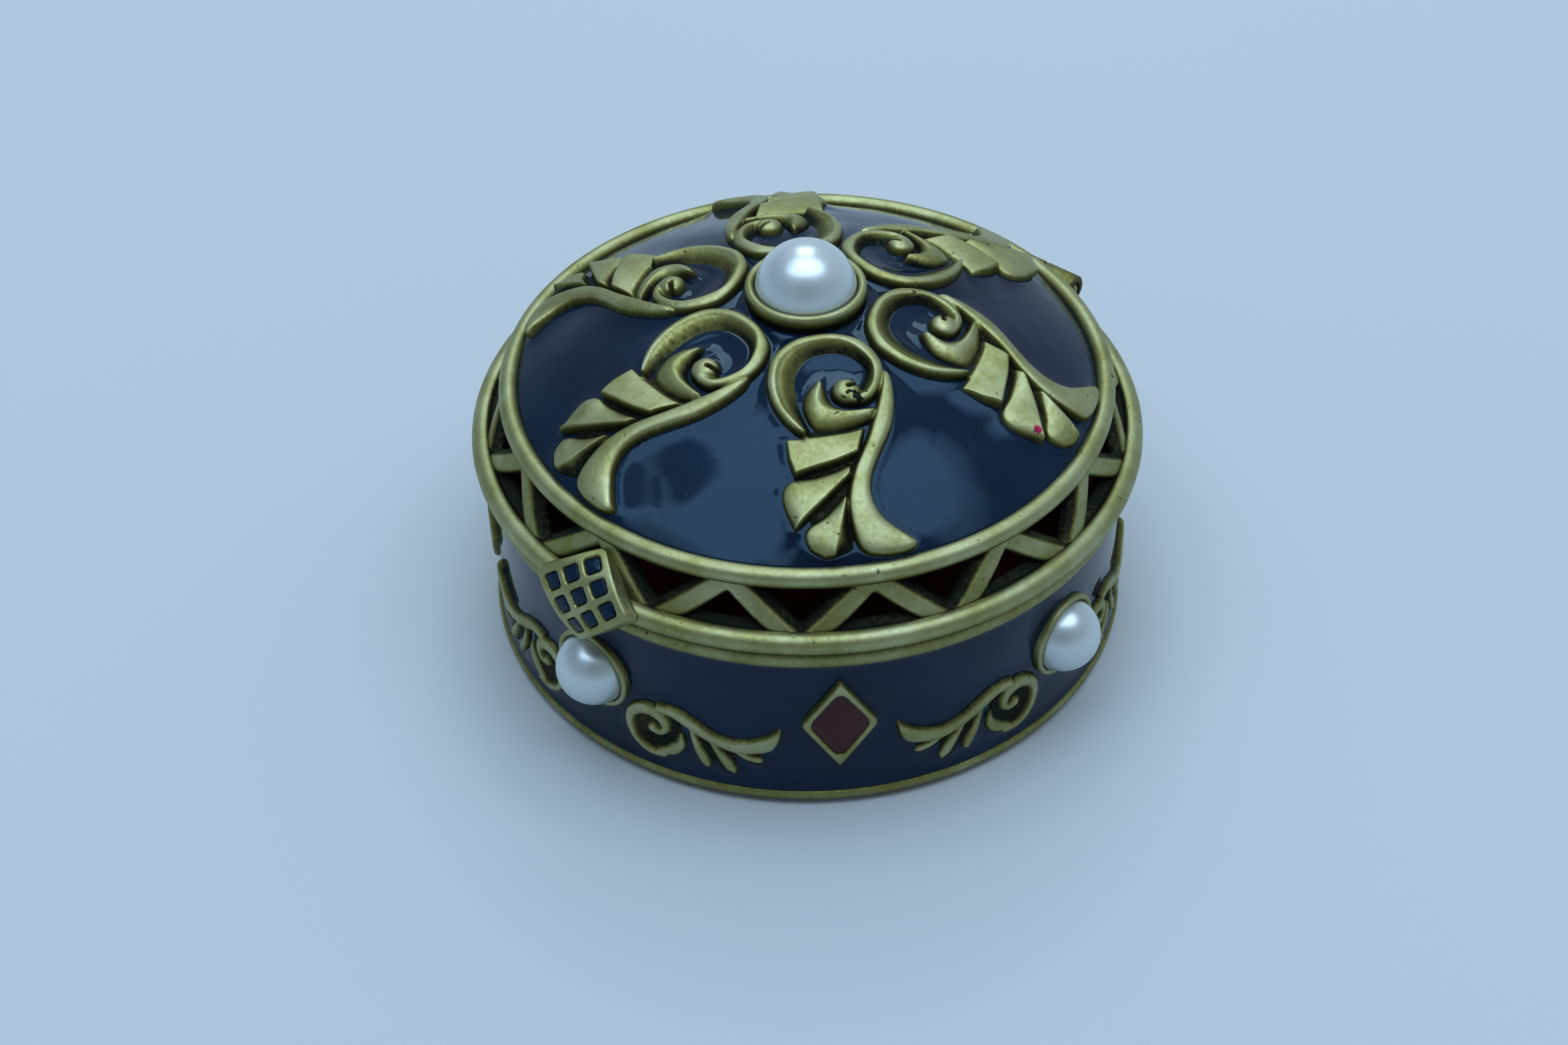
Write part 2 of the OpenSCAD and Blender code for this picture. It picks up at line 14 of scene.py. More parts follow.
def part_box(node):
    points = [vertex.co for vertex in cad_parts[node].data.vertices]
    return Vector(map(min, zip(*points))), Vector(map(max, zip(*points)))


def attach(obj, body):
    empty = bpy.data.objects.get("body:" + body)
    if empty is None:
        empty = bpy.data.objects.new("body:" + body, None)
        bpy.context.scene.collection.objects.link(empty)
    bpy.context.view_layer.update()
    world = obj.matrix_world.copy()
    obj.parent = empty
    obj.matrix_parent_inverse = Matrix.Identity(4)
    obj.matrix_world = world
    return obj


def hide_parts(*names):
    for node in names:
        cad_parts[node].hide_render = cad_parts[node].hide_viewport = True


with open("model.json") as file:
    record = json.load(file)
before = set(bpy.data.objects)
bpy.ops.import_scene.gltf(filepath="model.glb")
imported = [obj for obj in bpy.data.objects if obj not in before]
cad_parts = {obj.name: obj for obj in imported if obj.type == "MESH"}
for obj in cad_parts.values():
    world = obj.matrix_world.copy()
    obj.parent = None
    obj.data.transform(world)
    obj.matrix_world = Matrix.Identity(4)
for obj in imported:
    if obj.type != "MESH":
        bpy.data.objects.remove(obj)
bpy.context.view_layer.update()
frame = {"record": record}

bl_info = {
    "name": "Round pill box",
    "version": (1, 0, 0),
    "blender": (4, 5, 0),
    "location": "View3D > Sidebar > Pill box",
    "description": "Models the enamel, castings, pearls and lining of a round hinged pill box",
    "category": "Add Mesh",
}

MM = 0.001
QUARTER = math.pi / 2
UP = Vector((0, 0, 1))
HINGE = [v / MM for v in frame["record"]["behaviour"]["joints"][0]["pos_m"]]
LID_LOW, LID_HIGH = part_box("lid_shell")
# Thickness of a hinge leaf, and how far a half pearl's flat back lies below its rim, in millimetres
LEAF_T = 1.2
PEARL_SEAT = 0.67
# The fitted view: how far the viewer stands to the right of the front
VIEW_TURN = math.radians(40.6)

# Parts of a dome scroll, in millimetres: across, and out from the dome's middle. Each part has its edges,
# which are smoothed one by one and joined, its ridge and its height. To the left and to the right of the
# ridge it has a fall (1 is a straight facet, 2 is round, less than 1 is hollow), the share of the height that
# is a steep wall, and how dark that side is painted, as painted shade with some deposit. A part may also be
# dark all over. A planed part rises from its first edge only.
DOME_SCROLL = {
    "ground": dict(
        edges=[[(1.2, 13.2), (-1.5, 13.3), (-3.6, 13.2), (-4.6, 14.2), (-4.9, 15.4), (-5.2, 16.9),
                (-5.5, 18.2), (-5.2, 19.7), (-4.6, 20.6), (-3.2, 21.6), (-2.3, 21.4), (-1.8, 20),
                (-0.9, 17.6), (0.6, 15.2), (1.8, 13.4)]],
        ridge=[(-0.5, 14.5), (-3, 16), (-3.4, 18.5), (-2.8, 20.5)],
        height=0.14, left=(1, 1, 1), right=(1, 1, 1), dark=1),
    "volute": dict(
        edges=[[(-3.6, 13.9), (-4.5, 13.2), (-5.2, 12.0), (-5.6, 10.64), (-5.64, 9.4), (-5.42, 8.18),
                (-4.58, 6.46), (-2.85, 5.28), (-1.06, 5.05), (0.8, 5.36), (2.5, 6.3), (3.36, 7.98),
                (3.4, 9.65), (2.6, 11.16), (1.55, 11.98), (0.45, 12.12), (-0.4, 11.9)],
               [(-0.2, 11.2), (0.6, 10.75), (1.2, 10.3), (1.7, 9.65), (2.0, 8.86), (1.6, 8.05), (0.85, 7.3),
                (-0.52, 7.0), (-1.85, 7.2), (-2.8, 8.1), (-3.32, 9.4), (-3.5, 11.3), (-3.3, 13.2)]],
        ridge=[(-3.9, 13.4), (-4.85, 11.17), (-4.85, 8.92), (-4.0, 7.05), (-2.57, 6.1), (-0.84, 5.9),
               (0.85, 6.25), (2.0, 7.4), (2.55, 8.9), (2.25, 10.3), (1.45, 11.3), (0.4, 11.5)],
        height=0.95, left=(0.95, 0, 0.68), right=(2.6, 0, 0.14)),
    "knob": dict(
        edges=[[(1.25, 10.85), (0.9, 11.66), (0.05, 12.05), (-0.8, 11.66), (-1.15, 10.85), (-0.8, 10.0),
                (0.05, 9.65), (0.9, 10.0), (1.25, 10.85)]],
        ridge=[(0, 10.85), (0.1, 10.85)],
        height=1.1, left=(2.3, 0, 0), right=(2.3, 0, 0)),
    "crescent": dict(
        edges=[[(-1.6, 9.2), (-2.7, 9.95), (-3.4, 10.95), (-3.5, 12.0), (-3.15, 13.2), (-1.94, 13.75),
                (-0.45, 13.85), (1.5, 13.55)],
               [(1.85, 12.5), (0.44, 12.35), (-0.77, 11.95), (-1.25, 11.25), (-1.35, 10.2)]],
        ridge=[(-1.6, 9.75), (-2.25, 10.9), (-2.15, 11.9), (-1.3, 12.5), (-0.1, 12.75), (1.5, 12.8)],
        height=0.9, left=(1.5, 0.1, 0.3), right=(1.4, 0.1, 0.5)),
    "stem": dict(
        edges=[[(1.9, 12.3), (0.45, 14.76), (-1.22, 16.91), (-2.16, 18.68), (-2.44, 20.16), (-2.36, 21.6),
                (-1.85, 22.45), (-0.9, 22.8), (-0.1, 22.9), (1.0, 22.9), (1.8, 22.7), (2.15, 22.35),
                (1.95, 22.1), (1.2, 21.5), (0.12, 20.4), (-0.3, 19.02), (0.12, 17.55), (1.15, 16.1),
                (2.6, 14.2), (3.4, 12.2), (3.7, 10.3), (3.4, 9.3)]],
        ridge=[(3.1, 10.2), (2.6, 12.2), (1.45, 14.4), (-0.05, 16.4), (-1.05, 18.2), (-1.4, 19.8),
               (-1.15, 21.1), (-0.3, 21.9), (1.2, 22.3)],
        height=0.95, left=(3, 0.3, 0), right=(2.6, 0.15, 0)),
    "leaf_1": dict(
        edges=[[(0.6, 13.85), (-0.85, 13.95), (-3.05, 13.78), (-5.37, 13.36)], [(-5.6, 15.0), (-5.5, 16.4)],
               [(-3.69, 16.32), (-2.17, 16.22), (-0.5, 15.9)]],
        ridge=[(-0.5, 15.8), (-2.2, 16.1), (-3.7, 16.2), (-5.5, 16.28)],
        height=1.1, left=(1.15, 0.3, 0), right=(1, 0.95, 1), planed=True),
    "leaf_2": dict(
        edges=[[(-1.2, 16.4), (-2.55, 16.68), (-4.23, 16.72), (-5.63, 16.5), (-6.45, 16.85), (-6.76, 17.5),
                (-6.75, 18.5), (-6.45, 19.95)],
               [(-5.5, 19.45), (-3.56, 18.5), (-1.5, 17.35)]],
        ridge=[(-1.6, 17.28), (-3.6, 18.38), (-5.5, 19.33), (-6.4, 19.85)],
        height=1.1, left=(1.5, 0.3, 0), right=(1, 0.95, 1), planed=True),
    "leaf_3": dict(
        edges=[[(-2.2, 18.4), (-4.07, 19.5), (-5.37, 19.85), (-5.85, 20.38), (-5.7, 21.35), (-4.85, 22.12)],
               [(-4.06, 22.22), (-2.9, 22.15), (-2.5, 21.75), (-2.4, 20.6), (-2.15, 19.2)]],
        ridge=[(-2.3, 18.8), (-3.3, 20.7), (-4.15, 22.2)],
        height=1.05, left=(1.4, 0.4, 0), right=(1, 0.05, 1)),
}
# The slit between the knob and its band: points, half width and depth.
DOME_SLIT = ([(1.75, 9.8), (1.15, 10.4), (0.2, 10.65)], 0.17, 0.6)
# Low plates behind a wall scroll and the fishtail at its end, drawn like the parts of a dome scroll.
WALL_PLATES = {
    "ground": dict(
        edges=[[(4.2, 3.5), (3.5, 5.3), (4.0, 6.8), (5.3, 7.6), (6.8, 7.7), (7.7, 7.2), (8.0, 6.0),
                (8.1, 5.0), (7.6, 4.0), (6.8, 3.3), (5.4, 3.05), (4.2, 3.5)]],
        ridge=[(5, 5), (6.5, 5.5)],
        height=0.2, left=(1, 1, 1), right=(1, 1, 1), dark=0.9),
    "fan": dict(
        edges=[[(8.9, 7.0), (9.4, 5.3), (10.0, 4.1), (10.7, 3.6), (11.5, 3.4), (12.1, 3.7), (12.4, 4.5),
                (12.7, 5.2), (11.5, 5.9), (10.2, 6.4), (8.9, 7.0)]],
        ridge=[(9.6, 6), (11.4, 4.6)],
        height=0.2, left=(1, 1, 1), right=(1, 1, 1), dark=0.9),
    "fishtail": dict(
        edges=[[(11.4, 6.3), (12.4, 6.5), (13.5, 6.75), (14.6, 7.3), (15.7, 8.1)],
               [(15.85, 8.0), (15.75, 7.0), (15.4, 6.1)],
               [(15.1, 5.75), (14.3, 5.4), (13.2, 5.2), (12.2, 5.15), (11.2, 5.4)]],
        ridge=[(11.6, 5.9), (13.3, 5.95), (14.6, 6.4), (15.6, 7.4)],
        height=0.58, left=(2.4, 0.3, 0.1), right=(2.4, 0.3, 0.1)),
}
# Strokes of a wall scroll: points of [across from the pearl, height, half width], the relief, and whether the
# stroke is hollow on one side, with painted shade there.
WALL_SCROLL = {
    "volute": ([(6.85, 3.2, 0.3), (5.4, 3.1, 0.4), (4.1, 3.9, 0.42), (3.5, 5.35, 0.48), (3.9, 6.7, 0.6),
                (5.1, 7.4, 0.72), (6.3, 7.0, 0.64), (6.7, 6.05, 0.5), (6.25, 5.45, 0.42), (5.6, 5.6, 0.55)],
               0.55, False),
    "stem": ([(5.8, 7.9, 0.5), (7.4, 7.9, 0.62), (8.9, 7.15, 0.66), (10.4, 6.3, 0.6), (11.9, 5.85, 0.66),
              (13.0, 5.95, 0.7)], 0.55, False),
    "crescent": ([(8.0, 5.85, 0.15), (7.9, 4.7, 0.5), (7.2, 3.8, 0.58), (6.1, 3.25, 0.4)], 0.45, False),
    "leaf_1": ([(8.6, 7.3, 0.15), (9.2, 5.15, 0.42), (9.75, 3.95, 0.5), (10.05, 3.4, 0.42)], 0.45, False),
    "leaf_2": ([(10.05, 6.3, 0.15), (10.85, 4.85, 0.55), (11.5, 3.7, 0.74), (11.8, 3.3, 0.7)], 0.48, True),
    "leaf_3": ([(11.8, 5.5, 0.15), (13.0, 4.75, 0.52), (13.9, 4.5, 0.6)], 0.42, True),
}


def length(name, description, millimetres):
    """A size that is shown as a length"""
    return FloatProperty(name=name, description=description, default=millimetres * MM, min=0,
                         precision=5, subtype="DISTANCE", unit="LENGTH")


def colour(name, description, red, green, blue):
    """A colour of a finish"""
    return FloatVectorProperty(name=name, description=description, default=(red, green, blue),
                               min=0, max=1, size=3, subtype="COLOR")


class PillBoxSizes(bpy.types.PropertyGroup):
    """Sizes of the box's pieces"""
    lid_r: length("Lid radius", "Radius over the outer bead", (LID_HIGH[0] - LID_LOW[0]) / 2 / MM)
    base_h: length("Base height", "From the underside to the parting line", 16.5)
    parting_gap: length("Parting gap", "Between the base and the lid", 0.1)
    base_r: length("Base radius", "Radius over the bead of the base", 26.4)
    enamel_r: length("Enamel radius", "Radius of the enamelled wall near its top", 25.7)
    enamel_flare: length("Enamel flare", "How far the enamel swells out at the foot", 0.35)
    wall_r: length("Wall radius", "Outside of the cast wall behind the enamel", 25.2)
    cavity_r: length("Cavity radius", "Inside of the cast wall", 24)
    floor_t: length("Floor", "Thickness of the floor", 1.4)
    foot_h: length("Foot rim", "Height of the brass foot rim", 1.4)
    rim_h: length("Base bead", "Height of the bead round the top of the base", 1.7)
    lip_h: length("Lip height", "Height of the locating lip above the parting line", 1.1)
    lip_t: length("Lip", "Thickness of the locating lip", 0.5)
    outer_bead: length("Outer bead", "Diameter of the lid's outer bead", 1.8)
    dome_bead: length("Dome bead", "Diameter of the bead round the dome", 1.4)
    gallery_w: length("Gallery width", "Between the middles of the two beads, across", 2.4)
    gallery_h: length("Gallery height", "Between the middles of the two beads, up", 4.3)
    strut_w: length("Strut width", "Width of a gallery strut", 2.1)
    strut_t: length("Strut depth", "Depth of a gallery strut", 1.2)
    setback: length("Gallery setback", "How far the gallery lies behind the beads", 0.35)
    dome_h: length("Dome height", "Above the middle of the dome bead", 7.7)
    dome_t: length("Dome wall", "Thickness of the cast dome", 0.9)
    lid_enamel: length("Lid enamel", "Thickness of the enamel on the dome", 0.6)
    centre_pearl: length("Centre pearl", "Diameter of the half pearl on the dome", 8)
    side_pearl: length("Side pearl", "Diameter of the half pearls on the wall", 6)
    centre_bezel: length("Centre bezel wall", "Wall of the centre pearl's bezel", 0.7)
    side_bezel: length("Side bezel wall", "Wall of a side pearl's bezel", 0.5)
    centre_rise: length("Centre bezel rise", "Rim of the centre bezel above the dome", 1.3)
    side_rise: length("Side bezel rise", "Rim of a side bezel in front of the enamel", 0.8)
    pearl_drop: length("Pearl drop", "Depth of the side pearls' middle below the parting line", 7.6)
    lozenge_w: length("Lozenge width", "Across the wall", 6)
    lozenge_h: length("Lozenge height", "Up the wall", 9.3)
    lozenge_lift: length("Lozenge lift", "Middle of the lozenges above the middle of the wall", 0.7)
    lozenge_frame: length("Lozenge frame", "Width of a lozenge's frame", 0.62)
    tab_side: length("Tab side", "Side of the square tab, over its curve", 6.4)
    tab_t: length("Tab thickness", "Thickness of the tab", 1)
    tab_r: length("Tab curve", "Radius of the tab's curve over the rim", 5)
    lining_t: length("Lining", "Thickness of the fabric lining", 0.8)
    tab_turn: FloatProperty(name="Tab turn", description="Degrees of the tab from the middle of the front",
                            default=2.1)
    zigzags: IntProperty(name="Zigzags", description="Zigzags round the gallery", default=14, min=6)


class PillBoxColours(bpy.types.PropertyGroup):
    """Colours of the box's finishes"""
    brass: colour("Brass", "Worn high places", 0.38, 0.40, 0.222)
    tarnish: colour("Tarnish", "Brass that is less worn", 0.25, 0.257, 0.09)
    # Olive and patina colour the tarnish and deposit, and also the painted shade that the pieces mark
    olive: colour("Olive", "Brass that is hardly worn", 0.20, 0.20, 0.055)
    patina: colour("Patina", "Dark deposit in the hollows", 0.016, 0.02, 0.014)
    lacquer: colour("Lacquer", "Red fleck on a leaf", 0.24, 0.012, 0.045)
    navy: colour("Navy enamel", "Enamel of the wall, dome and tab", 0.004, 0.013, 0.034)
    maroon: colour("Maroon enamel", "Enamel of the lozenges", 0.066, 0.008, 0.005)
    dust: colour("Dust", "Specks on the enamel", 0.22, 0.24, 0.28)
    pearl: colour("Pearl", "Half pearls", 0.60, 0.66, 0.68)
    velvet: colour("Velvet", "Lining", 0.28, 0.007, 0.018)
    floor: colour("Floor", "Paper the box stands on", 0.51, 0.555, 0.59)


def sizes():
    """The sizes in millimetres, with the places that follow from them"""
    group = bpy.context.scene.pill_box_sizes
    names = [name for name in group.__annotations__ if name not in ("zigzags", "tab_turn")]
    s = SimpleNamespace(**{name: getattr(group, name) / MM for name in names})
    s.zigzags = group.zigzags
    s.tab_turn = group.tab_turn
    s.lid_low = s.base_h + s.parting_gap
    s.bead_r = s.lid_r - s.outer_bead / 2
    s.bead_z = s.lid_low + s.outer_bead / 2
    s.dome_bead_r = s.bead_r - s.gallery_w
    s.dome_bead_z = s.bead_z + s.gallery_h
    s.field_r = s.dome_bead_r - s.dome_bead / 2
    s.dome_r = (s.dome_bead_r ** 2 + s.dome_h ** 2) / (2 * s.dome_h)
    s.dome_z = s.dome_bead_z + s.dome_h - s.dome_r
    s.centre_rim = s.dome_bead_z + s.dome_h + s.centre_rise
    s.side_rim = s.enamel_r + s.side_rise
    s.wall_low = s.foot_h
    s.wall_high = s.base_h - s.rim_h
    s.pearl_z = s.base_h - s.pearl_drop
    s.lozenge_z = (s.wall_low + s.wall_high) / 2 + s.lozenge_lift
    return s


def colours():
    """The colours by name, each with its alpha"""
    group = bpy.context.scene.pill_box_colours
    return {name: tuple(getattr(group, name)) + (1,) for name in group.__annotations__}


# Finishes


def feed(tree, made, inputs):
    """Links or sets inputs of a node"""
    for key, value in inputs.items():
        if isinstance(value, bpy.types.NodeSocket):
            tree.links.new(value, made.inputs[key])
        else:
            made.inputs[key].default_value = value


def node(tree, kind, inputs=None, **settings):
    """A new node with its settings and inputs"""
    made = tree.nodes.new(kind)
    for key, value in settings.items():
        setattr(made, key, value)
    feed(tree, made, inputs or {})
    return made


def object_noise(tree, scale, detail, roughness):
    """Noise that stays with the piece; the scale counts waves in a metre"""
    place = node(tree, "ShaderNodeTexCoord").outputs["Object"]
    inputs = {"Vector": place, "Scale": scale, "Detail": detail, "Roughness": roughness}
    return node(tree, "ShaderNodeTexNoise", inputs).outputs["Fac"]


def marked(tree, name):
    """A value that a piece stores at its points"""
    return node(tree, "ShaderNodeAttribute", attribute_name=name).outputs["Fac"]


def spread(tree, value, low, high, to_low=0, to_high=1):
    """A value carried from one range into another"""
    inputs = {"Value": value, "From Min": low, "From Max": high, "To Min": to_low, "To Max": to_high}
    return node(tree, "ShaderNodeMapRange", inputs).outputs["Result"]


def blend_colours(tree, amount, first, second):
    """A mix of two colours; the Mix node's colour sockets go by number, because their names repeat"""
    return node(tree, "ShaderNodeMix", {0: amount, 6: first, 7: second}, data_type="RGBA").outputs[2]


def arithmetic(tree, operation, first, second):
    """A sum, product or the like of two values"""
    return node(tree, "ShaderNodeMath", {0: first, 1: second}, operation=operation).outputs[0]


def bump(tree, height, strength, distance):
    """Fine relief of a surface; the distance is in metres"""
    inputs = {"Height": height, "Strength": strength, "Distance": distance}
    return node(tree, "ShaderNodeBump", inputs).outputs["Normal"]


def dimmed(shade, red, green, blue):
    """A colour with a share of each channel"""
    return (shade[0] * red, shade[1] * green, shade[2] * blue, 1)


def antique_brass(tree, c):
    """Cast brass: worn on its high places, with a dark deposit in the hollows and painted shade, both where
    the piece marks them
    """
    cloud = object_noise(tree, 260, 5, 0.6)
    grain = object_noise(tree, 2600, 6, 0.65)
    pits = object_noise(tree, 1500, 2, 0.4)
    metal = blend_colours(tree, spread(tree, cloud, 0.35, 0.68), c["brass"], c["tarnish"])
    broken = arithmetic(tree, "ADD", marked(tree, "hollow"), spread(tree, cloud, 0.2, 0.8, -0.14, 0.14))
    broken = arithmetic(tree, "ADD", broken, spread(tree, grain, 0.3, 0.7, -0.09, 0.09))
    metal = blend_colours(tree, spread(tree, broken, 0.05, 0.5), metal, c["olive"])
    pitted = spread(tree, pits, 0.73, 0.79, 0, 0.8)
    deposit_and_shade = arithmetic(tree, "MAXIMUM", spread(tree, broken, 0.35, 0.98), pitted)
    shade = blend_colours(tree, deposit_and_shade, metal, c["patina"])
    rough = spread(tree, grain, 0.3, 0.7, 0.40, 0.56)
    skin = arithmetic(tree, "SUBTRACT", grain, spread(tree, pits, 0.68, 0.78, 0, 1.4))
    return {
        "Base Color": blend_colours(tree, marked(tree, "fleck"), shade, c["lacquer"]),
        "Metallic": 1,
        "Roughness": arithmetic(tree, "ADD", rough, spread(tree, deposit_and_shade, 0, 1, 0, 0.22)),
        "Normal": bump(tree, skin, 0.35, 0.00006),
    }


def enamel(tree, c, base, depth):
    """Fired enamel: a deep gloss with faint clouds, dust and an uneven skin"""
    cloud = object_noise(tree, 140, 3, 0.5)
    dust = object_noise(tree, 5200, 2, 0.4)
    deep = dimmed(base, depth, depth, depth)
    shade = blend_colours(tree, spread(tree, cloud, 0.3, 0.7), base, deep)
    return {
        "Base Color": blend_colours(tree, spread(tree, dust, 0.74, 0.8, 0, 0.10), shade, c["dust"]),
        "Roughness": spread(tree, dust, 0.62, 0.8, 0.06, 0.3),
        "IOR": 1.5,
        "Specular IOR Level": 0.3,
        "Specular Tint": (0.42, 0.72, 1, 1),
        "Normal": bump(tree, object_noise(tree, 170, 0, 0.4), 0.15, 0.0002),
    }


def fired_navy(tree, c):
    """Enamel of the wall, dome and tab"""
    return enamel(tree, c, c["navy"], 0.55)


def fired_maroon(tree, c):
    """Enamel of the lozenges"""
    return enamel(tree, c, c["maroon"], 0.6)


def pearl_lustre(tree, c):
    """Imitation pearl: pale, with a soft coated gloss and a faint bloom"""
    cloud = object_noise(tree, 420, 3, 0.5)
    fleck = object_noise(tree, 3800, 3, 0.5)
    return {
        "Base Color": blend_colours(tree, cloud, c["pearl"], dimmed(c["pearl"], 0.94, 0.98, 1)),
        "Roughness": spread(tree, fleck, 0.3, 0.7, 0.28, 0.32),
        "Metallic": 0.6,
        "Coat Weight": 0.3,
        "Coat Roughness": 0.2,
        "Normal": bump(tree, cloud, 0.1, 0.0001),
    }


def red_velvet(tree, c):
    """Short pile: a soft sheen over matted fibres"""
    pile = object_noise(tree, 3400, 6, 0.7)
    lie = spread(tree, object_noise(tree, 300, 3, 0.6), 0.3, 0.7, 0, 0.3)
    amount = arithmetic(tree, "ADD", spread(tree, pile, 0.3, 0.7, 0, 0.7), lie)
    return {
        "Base Color": blend_colours(tree, amount, dimmed(c["velvet"], 0.3, 0.3, 0.3), c["velvet"]),
        "Roughness": spread(tree, pile, 0.3, 0.7, 0.75, 0.95),
        "Sheen Weight": 0.6,
        "Sheen Roughness": 0.4,
        "Sheen Tint": (0.8, 0.1, 0.14, 1),
        "Normal": bump(tree, pile, 0.8, 0.0002),
    }


def pale_paper(tree, c):
    """Matt paper with faint clouds"""
    cloud = object_noise(tree, 9, 2, 0.5)
    return {
        "Base Color": blend_colours(tree, cloud, c["floor"], dimmed(c["floor"], 0.97, 0.97, 0.97)),
        "Roughness": 0.9,
        "Specular IOR Level": 0.1,
    }


FINISHES = {
    "brass": antique_brass, "navy_enamel": fired_navy, "maroon_enamel": fired_maroon, "pearl": pearl_lustre,
    "velvet": red_velvet, "paper": pale_paper,
}


def finish(slot):
    """The finish of a slot, made when it is first asked for"""
    recipe = FINISHES[slot]
    made = bpy.data.materials.get(recipe.__name__)
    if made is None:
        made = bpy.data.materials.new(recipe.__name__)
        made.use_nodes = True
        tree = made.node_tree
        feed(tree, tree.nodes["Principled BSDF"], recipe(tree, colours()))
    return made


# Modelling


def clamp(value):
    """The value, kept between 0 and 1"""
    return max(0, min(1, value))


def outwards(angle):
    """The level direction at an angle from the middle of the front"""
    return Vector((math.sin(angle), -math.cos(angle), 0))


def level(p):
    """The level direction from the upright axis to a point"""
    return Vector((p.x, p.y, 0)).normalized()


def new_verts(grown):
    """The points among what an extrusion made"""
    return [g for g in grown if isinstance(g, bmesh.types.BMVert)]


def edges_of(verts):
    """The edges at some points, each of them once"""
    return list(dict.fromkeys(e for v in verts for e in v.link_edges))


def spun(bm, profile, steps):
    """Turns a profile round the upright axis"""
    bmesh.ops.spin(bm, geom=profile + edges_of(profile), cent=(0, 0, 0), axis=UP, angle=4 * QUARTER,
                   steps=steps, use_merge=True)


def lathe(bm, outline, steps=192):
    """Turns an outline of (radius, height) round the upright axis"""
    profile = [bm.verts.new((r, 0, z)) for r, z in outline]
    for pair in zip(profile, profile[1:]):
        bm.edges.new(pair)
    spun(bm, profile, steps)


def solid_of(outline, steps=192):
    """A turned body of its own"""
    bm = bmesh.new()
    lathe(bm, outline, steps)
    closed(bm)
    return bm


def bead(bm, radius, height, thickness):
    """A round bead that runs round the box"""
    place = Matrix.Translation((radius, 0, height)) @ Matrix.Rotation(QUARTER, 4, "X")
    ring = bmesh.ops.create_circle(bm, segments=24, radius=thickness / 2, matrix=place)["verts"]
    spun(bm, ring, 192)


def arc(radius, centre, start, end, count):
    """Points of an arc in the plane of radius and height, angles in degrees from outwards"""
    angles = [math.radians(start + (end - start) * k / count) for k in range(count + 1)]
    return [(centre[0] + radius * math.cos(a), centre[1] + radius * math.sin(a)) for a in angles]


def rounded(bm, geom, width, segments, affect="EDGES"):
    """Rounds edges, or corners of a flat outline"""
    bmesh.ops.bevel(bm, geom=geom, offset=width, segments=segments, profile=0.5, affect=affect, material=-1,
                    clamp_overlap=affect == "EDGES")


def soften(bm, width, angle):
    """Rounds every edge that is sharper than the angle"""
    sharp = [e for e in bm.edges if len(e.link_faces) == 2 and e.calc_face_angle(0) > math.radians(angle)]
    rounded(bm, sharp, width, 3)


def closed(bm):
    """Joins points that coincide and turns the faces outwards"""
    bmesh.ops.remove_doubles(bm, verts=bm.verts, dist=0.0005)
    bmesh.ops.recalc_face_normals(bm, faces=bm.faces)


def moved(bm, matrix):
    """Moves a whole mesh"""
    bmesh.ops.transform(bm, matrix=matrix, verts=bm.verts)


def turned(bm, angle):
    """Turns a whole mesh about the upright axis"""
    bmesh.ops.rotate(bm, verts=bm.verts, cent=(0, 0, 0), matrix=Matrix.Rotation(angle, 3, "Z"))


def mirrored(bm):
    """Mirrors a whole mesh from left to right"""
    bmesh.ops.scale(bm, vec=(-1, 1, 1), verts=bm.verts)
    bmesh.ops.reverse_faces(bm, faces=bm.faces)


def smooth_path(points, steps=6):
    """A smooth curve through the points of a stroke"""
    points = [Vector(p) for p in points]
    held = points[:1] + points + points[-1:]
    path = []
    for a, b, c, d in zip(held, held[1:], held[2:], held[3:]):
        for t in (k / steps for k in range(steps)):
            path.append(0.5 * (2 * b + (c - a) * t + (2 * a - 5 * b + 4 * c - d) * t * t
                               + (3 * b - a - 3 * c + d) * t ** 3))
    return path + [points[-1]]


def flat_path(points):
    """A smooth curve through flat points"""
    return np.array([(p.x, p.y) for p in smooth_path([(*q, 0) for q in points], 5)])


def joined(edges):
    """A closed outline from edges that are smoothed one by one"""
    path = np.vstack([flat_path(edge) for edge in edges])
    return np.vstack([path, path[:1]])


def loops_of(part):
    """The outline of a part, with any holes in it"""
    return part["loops"] if "loops" in part else [joined(part["edges"])]


def sweep(bm, stations, squareness, segments):
    """Carries a rounded section along stations; a small squareness gives flat sides"""
    ring = bmesh.ops.create_circle(bm, segments=segments, radius=1)["verts"]
    for v in ring:
        v.co = Vector([math.copysign(abs(k) ** squareness, k) for k in v.co])
    edges = edges_of(ring)
    ends = list(edges)
    bmesh.ops.transform(bm, matrix=stations[0], verts=ring)
    for before, after in zip(stations, stations[1:]):
        grown = bmesh.ops.extrude_edge_only(bm, edges=edges)["geom"]
        ring = new_verts(grown)
        new = set(ring)
        edges = [g for g in grown if isinstance(g, bmesh.types.BMEdge) and set(g.verts) <= new]
        bmesh.ops.transform(bm, matrix=after @ before.inverted(), verts=ring)
    bmesh.ops.holes_fill(bm, edges=ends + edges, sides=0)


def station(place, along, up, half_width, half_height):
    """The place, turn and size of a swept section"""
    along = along.normalized()
    side = along.cross(up).normalized()
    rise = side.cross(along)
    made = Matrix((side * half_width, rise * half_height, along)).transposed().to_4x4()
    made.translation = place
    return made


